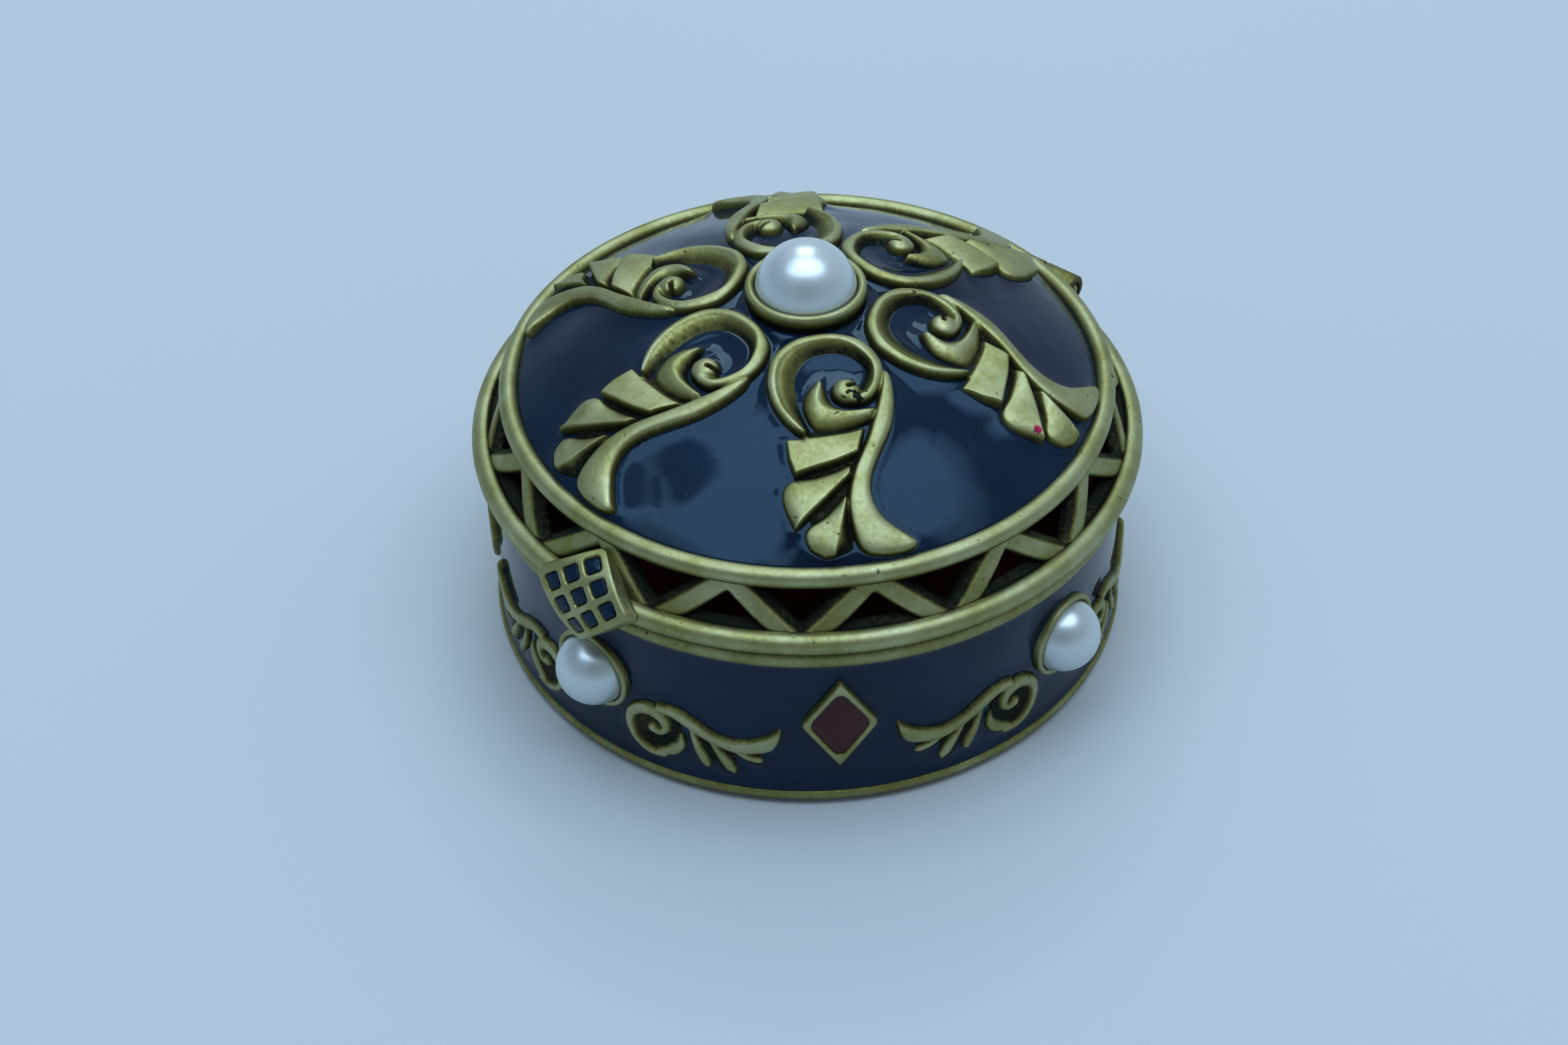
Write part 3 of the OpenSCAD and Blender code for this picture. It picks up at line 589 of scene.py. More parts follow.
def stroke_part(points, height, hollow):
    """A rounded part along a stroke, dished and painted in deep shade on its right if it is hollow; the round
    sides get a little painted shade
    """
    # The last value of each side is how dark it is painted: painted shade
    round_side, dished_side = (2.1, 0.2, 0.15), (0.8, 0.1, 0.9)
    path = smooth_path(points)
    last = len(path) - 1
    left, right = [], []
    for i, p in enumerate(path):
        way = path[min(last, i + 1)] - path[max(0, i - 1)]
        across = Vector((-way.y, way.x)).normalized() * p.z
        left.append((p.x + across.x, p.y + across.y))
        right.append((p.x - across.x, p.y - across.y))
    tip = path[-1].xy
    first = Vector(left[-1]) - tip
    round_end = [tuple(Matrix.Rotation(-a, 2) @ first + tip) for a in (0.5, 1.05, 1.57, 2.1, 2.65)]
    outline = left + round_end + right[::-1]
    return dict(loops=[np.array(outline + outline[:1])], ridge=[(p.x, p.y) for p in path], height=height,
                left=round_side, right=dished_side if hollow else round_side)


def distance_to(points, path):
    """Distance from each point to a path, and on which side of it the point is"""
    best = np.full(len(points), 1e9)
    side = np.zeros(len(points))
    for a, b in zip(path[:-1], path[1:]):
        way = b - a
        if way @ way < 1e-12:
            continue
        off = points - a
        t = np.clip(off @ way / (way @ way), 0, 1)
        far = np.hypot(*(off - t[:, None] * way).T)
        closer = far < best
        best = np.where(closer, far, best)
        side = np.where(closer, way[0] * off[:, 1] - way[1] * off[:, 0], side)
    return best, side


def within(points, loops):
    """Which points are inside an outline; a second loop makes a hole"""
    odd = np.zeros(len(points), bool)
    for loop in loops:
        for a, b in zip(loop[:-1], loop[1:]):
            crosses = (a[1] > points[:, 1]) != (b[1] > points[:, 1])
            rise = b[1] - a[1] if b[1] != a[1] else 1
            odd ^= crosses & (points[:, 0] < (b[0] - a[0]) * (points[:, 1] - a[1]) / rise + a[0])
    return odd


def eased(grid, rounds):
    """A grid blurred a little, over and over"""
    for _ in range(rounds):
        for axis in (0, 1):
            grid = 0.5 * grid + 0.25 * (np.roll(grid, 1, axis) + np.roll(grid, -1, axis))
    return grid


def part_relief(part, points, wall):
    """Height, and painted shade with deposit, of one part at each point; outside the part the heights fall
    away
    """
    outer_slope = 2.5
    side_shade_gain = 1.7
    loops = loops_of(part)
    edge = np.min([distance_to(points, loop)[0] for loop in loops], 0)
    away, side = distance_to(points, flat_path(part["ridge"]))
    start = distance_to(points, flat_path(part["edges"][0]))[0] if part.get("planed") else edge
    share = start / (start + away + 1e-9)
    fall, step, dark = (np.where(side > 0, a, b) for a, b in zip(part["left"], part["right"]))
    rise = (1 - (1 - share) ** fall) ** (1 / fall)
    round_off = np.sqrt(1 - (1 - np.minimum(edge / wall, 1)) ** 2)
    top = part["height"] * (step + (1 - step) * rise) * round_off
    # Painted shade on each side of the ridge: none at the ridge, the side's full darkness at the part's edge;
    # a part may be dark all over
    deposit_and_shade = np.maximum(dark * np.clip(side_shade_gain * (1 - share), 0, 1), part.get("dark", 0))
    return np.where(within(points, loops), top, -outer_slope * edge), deposit_and_shade


def relief(parts, spacing, wall, sunk, slit):
    """Heights of a relief over a flat grid, with the depth of its hollows and its painted shade"""
    margin = 0.4
    cavity_reach = 0.45
    slit_above = 0.2
    steep_from, steep_run = 0.6, 1.2
    corners = np.vstack([loop for part in parts for loop in loops_of(part)])
    low, high = corners.min(0) - margin, corners.max(0) + margin
    count = np.ceil((high - low) / spacing).astype(int)
    xs, ys = (low[k] + spacing * np.arange(count[k] + 1) for k in (0, 1))
    points = np.stack(np.meshgrid(xs, ys), -1).reshape(-1, 2)
    heights = np.full(len(points), -sunk)
    dark = np.zeros(len(points))
    for part in parts:
        new, deposit_and_shade = part_relief(part, points, wall)
        dark = np.where(new > heights, deposit_and_shade, dark)
        heights = np.maximum(heights, new)
    if slit:
        path, half_width, depth = slit
        cut = np.clip(1 - distance_to(points, np.array(path))[0] / half_width, 0, 1)
        heights = np.where(heights > slit_above, heights - depth * cut, heights)
        dark = np.maximum(dark, cut)
    shape = (len(ys), len(xs))
    heights = eased(heights.reshape(shape), 1)
    slope = np.hypot(*np.gradient(heights, spacing))
    cavity = eased(heights, round((cavity_reach / spacing) ** 2)) - heights
    steep = np.clip((slope - steep_from) / steep_run, 0, 1)
    # Deposit lies a little everywhere, and more on steep sides and in cavities; painted shade and a darkness
    # of the part's own come where a part asks for them
    hollows_and_shade = np.clip(0.75 * steep + 1.2 * cavity + 0.1 + dark.reshape(shape), 0, 1)
    return xs, ys, heights, eased(hollows_and_shade, 2)


def relief_sheet(parts, spacing, wall, lay, sunk=0.4, slit=None):
    """A closed relief; lay gives the place and the outward direction of a drawn point"""
    xs, ys, heights, hollows_and_shade = relief(parts, spacing, wall, sunk, slit)
    foot_depth = 0.1
    buried_below = 0.05 - sunk
    bm = bmesh.new()
    bmesh.ops.create_grid(bm, x_segments=len(xs) - 1, y_segments=len(ys) - 1, size=1)
    layer = bm.verts.layers.float.new("hollow")
    buried = set()
    for v in bm.verts:
        i = round((v.co.x + 1) / 2 * (len(xs) - 1))
        k = round((v.co.y + 1) / 2 * (len(ys) - 1))
        place, up = lay(xs[i], ys[k])
        v.co = place + up * heights[k, i]
        v[layer] = hollows_and_shade[k, i]
        if heights[k, i] < buried_below:
            buried.add(v)
    bmesh.ops.delete(bm, geom=[f for f in bm.faces if buried.issuperset(f.verts)], context="FACES")
    rim = [e for e in bm.edges if e.is_boundary]
    foot = new_verts(bmesh.ops.extrude_edge_only(bm, edges=rim)["geom"])
    up = lay((xs[0] + xs[-1]) / 2, (ys[0] + ys[-1]) / 2)[1]
    bmesh.ops.translate(bm, vec=-foot_depth * up, verts=foot)
    bmesh.ops.holes_fill(bm, edges=[e for e in bm.edges if e.is_boundary], sides=0)
    bmesh.ops.recalc_face_normals(bm, faces=bm.faces)
    return bm


def fused(bm, voxel, rounds):
    """The bodies in a mesh cast into one, with soft inner corners"""
    closed(bm)
    mesh = mesh_of(bm, "casting")
    block = placed("casting", mesh)
    remesh = block.modifiers.new("cast", "REMESH")
    remesh.mode = "VOXEL"
    remesh.voxel_size = voxel
    bpy.context.view_layer.update()
    done = block.evaluated_get(bpy.context.evaluated_depsgraph_get()).to_mesh()
    cast = bmesh.new()
    cast.from_mesh(done)
    bpy.data.objects.remove(block)
    bpy.data.meshes.remove(mesh)
    for _ in range(rounds):
        bmesh.ops.smooth_vert(cast, verts=cast.verts, factor=0.5, use_axis_x=True, use_axis_y=True,
                              use_axis_z=True)
    return cast


def mark(bm, amount, name="hollow"):
    """Stores a value from 0 to 1 at each point: how deep it lies in a hollow, with any painted shade, unless
    another name is given
    """
    layer = bm.verts.layers.float.get(name) or bm.verts.layers.float.new(name)
    for v in bm.verts:
        v[layer] = clamp(amount(v.co))


def mesh_of(bm, name):
    """Turns a mesh that is being edited into mesh data"""
    mesh = bpy.data.meshes.new(name)
    bm.to_mesh(mesh)
    bm.free()
    return mesh


def placed(name, data):
    """A new object in the scene"""
    made = bpy.data.objects.new(name, data)
    bpy.context.scene.collection.objects.link(made)
    return made


def piece(bm, name, body, slot, nodes, sharp=50):
    """Makes an object of a mesh in millimetres, hangs it on the body it rides on, and hides the parts that it
    stands for
    """
    bmesh.ops.scale(bm, vec=(MM, MM, MM), verts=bm.verts)
    mesh = mesh_of(bm, name)
    mesh.polygons.foreach_set("use_smooth", [True] * len(mesh.polygons))
    mesh.set_sharp_from_angle(angle=math.radians(sharp))
    mesh.materials.append(finish(slot))
    made = placed(name, mesh)
    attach(made, body)
    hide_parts(*nodes)
    return made


def tree_of(names):
    """One search tree over several finished pieces"""
    verts, faces = [], []
    for name in names:
        mesh = bpy.data.objects[name].data
        first = len(verts)
        verts.extend(v.co / MM for v in mesh.vertices)
        faces.extend([first + i for i in p.vertices] for p in mesh.polygons if len(p.vertices) <= 4)
    return BVHTree.FromPolygons(verts, faces)


def pool(bm, outward, neighbours, climb=0.32, reach=0.9, swell=0.07, rest=-0.15):
    """Lets enamel creep up what stands in it, and gives its skin a slow swell"""
    search = 3
    slow, quick = 0.19, 0.42
    elsewhere = Vector((7, 3, 1))
    bm.normal_update()
    for v in bm.verts:
        near = neighbours.find_nearest(v.co, search)[3]
        rise = rest + (0 if near is None else climb * math.exp(-near / reach))
        rise += swell * noise.noise(v.co * slow) + 0.2 * swell * noise.noise(v.co * quick + elsewhere)
        v.co += outward(v.co) * rise


def half_pearl(diameter, back):
    """A half pearl on the upright axis, with its edge rounded under"""
    r = diameter / 2
    under = 0.12
    return solid_of([(0, back), (r - under, back)] + arc(r, (0, back), 3, 90, 28), 96)


def pearl_bezel(diameter, wall, rim, back):
    """A bezel on the upright axis: a cup with a rolled rim that hugs the pearl"""
    play = 0.03
    ledge_w = 0.6
    cup_depth = 0.68
    inner = diameter / 2 + play
    ledge = inner - ledge_w
    floor = rim - cup_depth
    roll = wall / 2
    outline = [(ledge, back), (inner + wall, back), (inner + wall, rim - 1)]
    outline += arc(roll, (inner + roll, rim - roll), 0, 180, 12)
    bm = solid_of(outline + [(inner, floor), (ledge, floor), (ledge, back)], 96)
    mark(bm, lambda p: max((rim - 0.35 - p.z) / 0.5, (inner + 0.12 - p.xy.length) / 0.2))
    return bm


def on_wall(s, across, z, radius):
    """Place and outward direction of a point that is drawn on the wall"""
    up = outwards(across / s.enamel_r)
    return up * radius + UP * z, up


# Pieces of the base


class PILLBOX_OT_base_cup(bpy.types.Operator):
    """Brass cup with its foot rim, top bead and locating lip"""
    bl_idname = "pillbox.base_cup"
    bl_label = "Base cup"

    def execute(self, context):
        s = sizes()
        undercut = 0.5
        stand = s.base_r - 2.4
        foot = (s.foot_h - undercut) / 2
        rim = s.rim_h / 2
        lip_r = s.cavity_r + s.lip_t
        lip_z = s.base_h + s.lip_h
        ease = 0.12
        lead_in = 0.15
        outline = [(0, 0), (stand - 1, 0), (stand, 0), (stand + 0.2, undercut - 0.1), (stand + 0.5, undercut)]
        outline += arc(foot, (s.base_r - foot, s.foot_h - foot), -90, 90, 10)
        outline += [(s.wall_r, s.foot_h), (s.wall_r, s.wall_high)]
        outline += arc(rim, (s.base_r - rim, s.base_h - rim), -90, 90, 12)
        outline += [(lip_r + ease, s.base_h), (lip_r, s.base_h + ease), (lip_r, lip_z - lead_in)]
        outline += [(lip_r - lead_in, lip_z), (s.cavity_r + ease, lip_z), (s.cavity_r, lip_z - ease)]
        outline += [(s.cavity_r, s.floor_t), (0, s.floor_t)]
        bm = solid_of(outline)

        def depth(p):
            """Deposit beside the rims, at the parting line, on the lip and underneath"""
            beside = [0.75 * math.exp(-abs(p.z - z) / 0.22) for z in (s.foot_h, s.wall_high)]
            parting = 1.1 * math.exp(-max(0, s.base_h - p.z) / 0.25) if p.xy.length > s.wall_r else 0
            lip = 0.9 if p.z > s.base_h + 0.05 else 0.28
            under = 0.35 if p.z < undercut - 0.02 else 0
            return max(*beside, parting, lip, under)

        mark(bm, depth)
        piece(bm, "base_cup_cast", "base", "brass", ["base_cup"])
        return {"FINISHED"}


class PILLBOX_OT_base_scrolls(bpy.types.Operator):
    """Low scrolls on the wall, a mirrored pair beside each pearl"""
    bl_idname = "pillbox.base_scrolls"
    bl_label = "Wall scrolls"

    def execute(self, context):
        s = sizes()
        third = (s.wall_high - s.wall_low) / 3

        def lay(across, z):
            """A drawn point on the wall, which leans in less above its lower third"""
            up = (z - s.wall_low) / third
            flare = 1 - 2 / 3 * up if up < 1 else max(0, (2 - up) / 3)
            return on_wall(s, across, z, s.enamel_r + s.enamel_flare * flare)

        parts = list(WALL_PLATES.values()) + [stroke_part(*part) for part in WALL_SCROLL.values()]
        cast = relief_sheet(parts, spacing=0.08, wall=0.2, lay=lay, sunk=0.3)
        for n in range(8):
            copy = cast.copy()
            if n % 2:
                mirrored(copy)
            turned(copy, n // 2 * QUARTER)
            piece(copy, f"wall_scroll_{n + 1}", "base", "brass", [f"base_scroll_{n + 1}"], 180)
        cast.free()
        return {"FINISHED"}


class PILLBOX_OT_side_pearls(bpy.types.Operator):
    """Half pearls on the wall, in bezels with a rolled rim"""
    bl_idname = "pillbox.side_pearls"
    bl_label = "Side pearls"

    def execute(self, context):
        s = sizes()
        rim_drop = 0.25
        let_in = 0.8
        outward = Matrix.Translation((0, 0, s.pearl_z)) @ Matrix.Rotation(QUARTER, 4, "X")
        for n in range(4):
            bezel = pearl_bezel(s.side_pearl, s.side_bezel, s.side_rim - rim_drop, s.wall_r - let_in)
            pearl = half_pearl(s.side_pearl, s.side_rim - PEARL_SEAT)
            for bm in (bezel, pearl):
                moved(bm, outward)
                turned(bm, n * QUARTER)
            piece(bezel, f"side_bezel_cast_{n + 1}", "base", "brass", [f"side_bezel_{n + 1}"])
            piece(pearl, f"side_pearl_set_{n + 1}", "base", "pearl", [f"side_pearl_{n + 1}"])
        return {"FINISHED"}


class PILLBOX_OT_lozenges(bpy.types.Operator):
    """Brass lozenges with a maroon field, bent to the wall"""
    bl_idname = "pillbox.lozenges"
    bl_label = "Lozenges"

    def execute(self, context):
        s = sizes()
        height = 0.68
        field_drop = 0.2
        overlap = 0.06
        side = (2, 0.85, 0)

        def lay(across, z):
            """A drawn point on the wall, from the lozenge's middle"""
            return on_wall(s, across, z + s.lozenge_z, s.enamel_r)

        rings = [self.corners(s, inset) for inset in (0, s.lozenge_frame, s.lozenge_frame / 2)]
        rim = dict(loops=rings[:2], ridge=rings[2], height=height, left=side, right=side)
        cast = relief_sheet([rim], spacing=0.06, wall=0.18, lay=lay)
        for n in range(4):
            angle = (n + 0.5) * QUARTER
            copy = cast.copy()
            turned(copy, angle)
            piece(copy, f"lozenge_frame_cast_{n + 1}", "base", "brass", [f"lozenge_frame_{n + 1}"], 180)
            field = self.field(s, s.lozenge_frame - overlap, height - field_drop)
            turned(field, angle)
            piece(field, f"lozenge_field_{n + 1}", "base", "maroon_enamel", [f"lozenge_enamel_{n + 1}"])
        cast.free()
        return {"FINISHED"}

    def half_sides(self, s, inset):
        """Half the width and height of a lozenge that lies inside the outer one"""
        shrink = 1 - inset * 2 * math.hypot(1 / s.lozenge_w, 1 / s.lozenge_h)
        return s.lozenge_w / 2 * shrink, s.lozenge_h / 2 * shrink

    def corners(self, s, inset):
        """Points round a lozenge with eased corners"""
        ease = 0.4 + 0.7 * inset
        half_w, half_h = self.half_sides(s, inset)
        tips = [Vector(p) for p in ((half_w, 0), (0, half_h), (-half_w, 0), (0, -half_h))]
        path = []
        for before, tip, after in zip(tips[-1:] + tips, tips, tips[1:] + tips):
            first = tip + (before - tip).normalized() * ease
            last = tip + (after - tip).normalized() * ease
            for t in (0, 0.25, 0.5, 0.75, 1):
                path.append((1 - t) ** 2 * first + 2 * t * (1 - t) * tip + t * t * last)
        return np.array([tuple(p) for p in path + path[:1]])

    def field(self, s, inset, height):
        """The enamel of a lozenge: a flat one with eased edges, bent round the wall"""
        bm = bmesh.new()
        ring = bmesh.ops.create_circle(bm, cap_ends=True, segments=4, radius=1)["verts"]
        bmesh.ops.scale(bm, vec=(*self.half_sides(s, inset), 1), verts=ring)
        rounded(bm, ring, 0.35, 4, "VERTICES")
        bmesh.ops.triangulate(bm, faces=[f for f in bm.faces if len(f.verts) > 4])
        long = [e for e in bm.edges if e.calc_length() > 0.8]
        bmesh.ops.subdivide_edges(bm, edges=long, cuts=3, use_grid_fill=True)
        top = new_verts(bmesh.ops.extrude_face_region(bm, geom=bm.faces[:])["geom"])
        bmesh.ops.translate(bm, vec=UP * height, verts=top)
        closed(bm)
        soften(bm, 0.1, 60)
        for v in bm.verts:
            v.co = on_wall(s, v.co.x, v.co.y + s.lozenge_z, s.enamel_r + v.co.z)[0]
        closed(bm)
        return bm


class PILLBOX_OT_base_enamel(bpy.types.Operator):
    """Navy enamel on the wall, pooled round what is set into it"""
    bl_idname = "pillbox.base_enamel"
    bl_label = "Wall enamel"

    def execute(self, context):
        s = sizes()
        rows = 56
        gap = 0.02
        back = s.wall_r + gap
        low = s.wall_low + gap
        rise = s.wall_high - s.wall_low - 2 * gap
        face = []
        for t in (k / rows for k in range(rows + 1)):
            flare = s.enamel_flare * max(0, 1 - 1.5 * t) ** 1.4
            face.append((s.enamel_r + flare, low + rise * t))
        bm = solid_of([(back, face[0][1])] + face + [(back, face[-1][1])], 420)
        set_in = [f"wall_scroll_{n}" for n in range(1, 9)] + ["base_cup_cast"]
        set_in += [f"{name}_{n}" for name in ("side_bezel_cast", "lozenge_frame_cast") for n in range(1, 5)]

        def outward(p):
            """Out from the wall on the face, and nothing on the back"""
            return level(p) if p.xy.length > s.enamel_r - 0.1 else Vector()

        pool(bm, outward, tree_of(set_in), climb=0.2, reach=0.7, swell=0.05, rest=-0.1)
        piece(bm, "wall_enamel", "base", "navy_enamel", ["base_enamel"])
        return {"FINISHED"}


class PILLBOX_OT_hinge(bpy.types.Operator):
    """Three knuckles on a pin with riveted ends"""
    bl_idname = "pillbox.hinge"
    bl_label = "Hinge"

    def execute(self, context):
        s = sizes()
        gap = 0.15
        middle = 6.0
        end = 3.4
        pin_r = 0.6
        rivet = 0.2
        along = Matrix.Translation(HINGE) @ Matrix.Rotation(QUARTER, 4, "Y")
        half = middle / 2 + gap + end
        low = HINGE[2] - gap - LEAF_T
        bm = self.knuckle(along, -middle / 2, middle, low, s.base_r - 0.5)
        piece(bm, "base_hinge_cast", "base", "brass", ["base_hinge"])
        for n, start in enumerate((-half, middle / 2 + gap)):
            bm = self.knuckle(along, start, end, HINGE[2] + gap, s.bead_r + 0.5)
            piece(bm, f"lid_hinge_cast_{n + 1}", "lid", "brass", [f"lid_hinge_{n + 1}"])
        pin = [(0, -half), (pin_r - rivet, -half), (pin_r, -half + rivet), (pin_r, half - rivet)]
        bm = solid_of(pin + [(pin_r - rivet, half), (0, half)], 32)
        moved(bm, along)
        mark(bm, lambda p: 0.2)
        piece(bm, "hinge_pin_turned", "base", "brass", ["hinge_pin"])
        return {"FINISHED"}

    def knuckle(self, along, start, width, low, from_y):
        """A rolled knuckle with its bore open at both ends, and the web that carries it"""
        bore = 0.65
        outer = 1.3
        ease = 0.15
        end = start + width
        deep = HINGE[1] - 0.8 - from_y
        ring = [(bore, start), (outer - ease, start), (outer, start + ease), (outer, end - ease)]
        bm = solid_of(ring + [(outer - ease, end), (bore, end), (bore, start)], 48)
        moved(bm, along)
        place = Matrix.Translation((start + width / 2, from_y + deep / 2, low + LEAF_T / 2))
        web = place @ Matrix.Diagonal((width, deep, LEAF_T, 1))
        cube = bmesh.ops.create_cube(bm, size=1, matrix=web)["verts"]
        rounded(bm, edges_of(cube), 0.18, 3)
        mark(bm, lambda p: 0.95 - 0.7 * abs(math.hypot(p.y - HINGE[1], p.z - HINGE[2]) - bore))
        return bm


class PILLBOX_OT_base_lining(bpy.types.Operator):
    """Velvet round the inside of the wall and a padded floor"""
    bl_idname = "pillbox.base_lining"
    bl_label = "Base lining"

    def execute(self, context):
        s = sizes()
        gap = 0.03
        outer = s.cavity_r - gap
        inner = outer - s.lining_t
        low = s.floor_t + gap
        high = low + s.base_h - s.floor_t - s.rim_h / 2 - 0.05
        rows = 14
        ripple = 0.1
        unevenness = 0.12
        hem = 0.38
        turn_in = 0.2
        face = []
        for k in range(rows + 1):
            face.append((inner + ripple * math.sin(k * 0.9), low + turn_in + (high - low - 0.5) * k / rows))
        fold = arc(hem, (outer - 0.4, high - hem), 180, 0, 8)
        bm = solid_of([(outer, low), (inner + turn_in, low)] + face + fold + [(outer, low)], 160)
        for v in bm.verts:
            if v.co.xy.length < outer - turn_in:
                v.co -= level(v.co) * unevenness * noise.noise(v.co * 0.45)
        wall = piece(bm, "wall_velvet", "base", "velvet", ["wall_lining"])
        pad = piece(self.cushion(s, low), "floor_cushion", "base", "velvet", ["floor_pad"], 180)
        return {"FINISHED"}

    def cushion(self, s, low):
        """A padded disc that is puckered near its edge"""
        play = 0.12
        r = s.cavity_r - s.lining_t - play
        rows = 26
        roll = 0.5
        edge_h, crown_h = 1.05, 0.8
        puckers, pucker_h, pucker_reach = 40, 0.06, 4
        edge = arc(roll, (r - roll, low + roll), -60, 65, 6)
        crown = []
        for k in range(1, rows + 1):
            out = 1 - k / rows
            crown.append((r * out, low + edge_h + crown_h * (1 - out ** 2)))
        bm = solid_of([(0, low), (r - 0.4, low)] + edge + crown, 160)
        for v in bm.verts:
            if v.co.z > low + 0.4:
                near_edge = max(0, (v.co.xy.length - r + pucker_reach) / pucker_reach)
                pucker = pucker_h * math.sin(math.atan2(v.co.y, v.co.x) * puckers) * near_edge
                v.co.z += pucker + 0.1 * noise.noise(v.co * 0.25)
        return bm


# Pieces of the lid


class PILLBOX_OT_lid_frame(bpy.types.Operator):
    """Cast dome with its two beads, the ledge and the pierced zigzag gallery between them"""
    bl_idname = "pillbox.lid_frame"
    bl_label = "Lid frame"

    def execute(self, context):
        s = sizes()
        nodes = ["lid_shell"]
        piece(self.dome(s), "lid_frame_cast", "lid", "brass", nodes)
        piece(self.gallery(s), "zigzag_gallery", "lid", "brass", nodes, 180)
        return {"FINISHED"}

    def dome(self, s):
        """The dome, its two beads and the ledge with its trough"""
        fuller = 1.12
        bm = bmesh.new()
        bead(bm, s.bead_r, s.bead_z, s.outer_bead)
        bead(bm, s.dome_bead_r, s.dome_bead_z, s.dome_bead * fuller)
        shell = s.dome_r - s.lid_enamel
        edge = math.degrees(math.acos(s.field_r / shell))
        outline = arc(shell, (0, s.dome_z), 90, edge, 30)
        lathe(bm, outline + arc(shell - s.dome_t, (0, s.dome_z), edge + 1, 90, 30))
        low = s.lid_low
        ledge = s.bead_r - 1.3
        floor, side = low + 1.5, low + 1.7
        ease = 0.15
        trough = [(s.bead_r - 0.3, side), (s.bead_r - 0.6, floor), (s.bead_r - 0.95, floor)]
        trough += [(ledge - 0.1, side + 0.05), (ledge - 0.3, side), (ledge - 0.3, low + 1.2)]
        lathe(bm, [(s.bead_r, low)] + trough + [(ledge, low + ease), (ledge + ease, low), (s.bead_r, low)])
        closed(bm)
        beads = ((s.bead_r, s.bead_z, s.outer_bead / 2), (s.dome_bead_r, s.dome_bead_z, s.dome_bead / 2))
        worn_and_lit_way = Vector((0.5, 0.866))

        def depth(p):
            """Beads worn, with a painted highlight, on top and painted in shade round their other sides, and
            a deposit in the trough, underneath and everywhere else
            """
            r = p.xy.length
            best = 1.0
            # Each bead is lightest facing up and a little outwards, and darker round to its underside: wear
            # with a painted highlight, and painted shade
            for centre_r, centre_z, radius in beads:
                off = Vector((r - centre_r, p.z - centre_z))
                if off.length < radius * 1.15:
                    best = min(best, 0.55 - 0.75 * off.normalized().dot(worn_and_lit_way))
            if s.bead_r - 2 < r < s.bead_r - 0.4 and s.bead_z < p.z < s.bead_z + 1.2:
                return 1
            if p.z < s.bead_z - 0.45:
                return 0.85
            return best if best < 1 else 0.75

        mark(bm, depth)
        return bm

    def gallery(self, s):
        """Struts in a zigzag, cast together, each with a facet that falls away above its ridge; painted shade
        darkens each strut above its ridge and on its sides and back
        """
        steps = 6
        lead = 0.05
        fuller_w, fuller_t = 1.04, 1.16
        facet_from, facet_run, facet_drop = 0.25, 0.8, 0.5
        dark_run = 0.3
        half_w, half_t = s.strut_w / 2 * fuller_w, s.strut_t / 2 * fuller_t
        slope = Vector((s.gallery_w, -s.gallery_h)).normalized()
        normal = Vector((-slope.y, slope.x))
        behind = s.setback + s.strut_t / 2 - 0.25
        step = math.pi / s.zigzags

        def lay(turn, along):
            """Place and outward direction on the gallery's middle surface"""
            mid_r = s.dome_bead_r + s.gallery_w * along - normal.x * behind
            mid_z = s.dome_bead_z - s.gallery_h * along - normal.y * behind
            out = outwards(turn)
            return out * mid_r + UP * mid_z, out * normal.x + UP * normal.y

        bm = bmesh.new()
        for n in range(2 * s.zigzags):
            way = -1 if n % 2 else 1
            stations = []
            for t in (k / steps for k in range(steps + 1)):
                along = 1 - t if n % 2 else t
                place, up = lay((n + t) * step, along)
                before = lay((n + t - lead) * step, along - way * lead)[0]
                after = lay((n + t + lead) * step, along + way * lead)[0]
                stations.append(station(place, after - before, up, half_w, half_t))
            sweep(bm, stations, 0.5, 28)
        cast = fused(bm, 0.145, 3)
        layer = cast.verts.layers.float.new("hollow")
        rise = math.hypot(s.gallery_w, s.gallery_h)
        lean = math.cos(math.atan2(rise, step * s.bead_r))
        for v in cast.verts:
            flat = Vector((v.co.xy.length - s.dome_bead_r, v.co.z - s.dome_bead_z))
            off = flat.dot(normal) + behind
            turn = math.atan2(v.co.x, -v.co.y) / step % 2
            above = (min(turn, 2 - turn) - flat.dot(slope) / rise) * rise * lean - facet_from
            if off > 0:
                v.co -= (level(v.co) * normal.x + UP * normal.y) * facet_drop * clamp(above / facet_run)
            # Painted shade darkens all but a strut's outer face, and the strut above its ridge; a little
            # deposit and random tone come on top
            deep = min(0.7, (half_t - off - 0.12) / 0.4)
            deposit_and_shade = max(deep, 0.85 * clamp(above / dark_run))
            v[layer] = clamp(0.12 + deposit_and_shade + 0.2 * noise.noise(v.co * 0.3))
        return cast


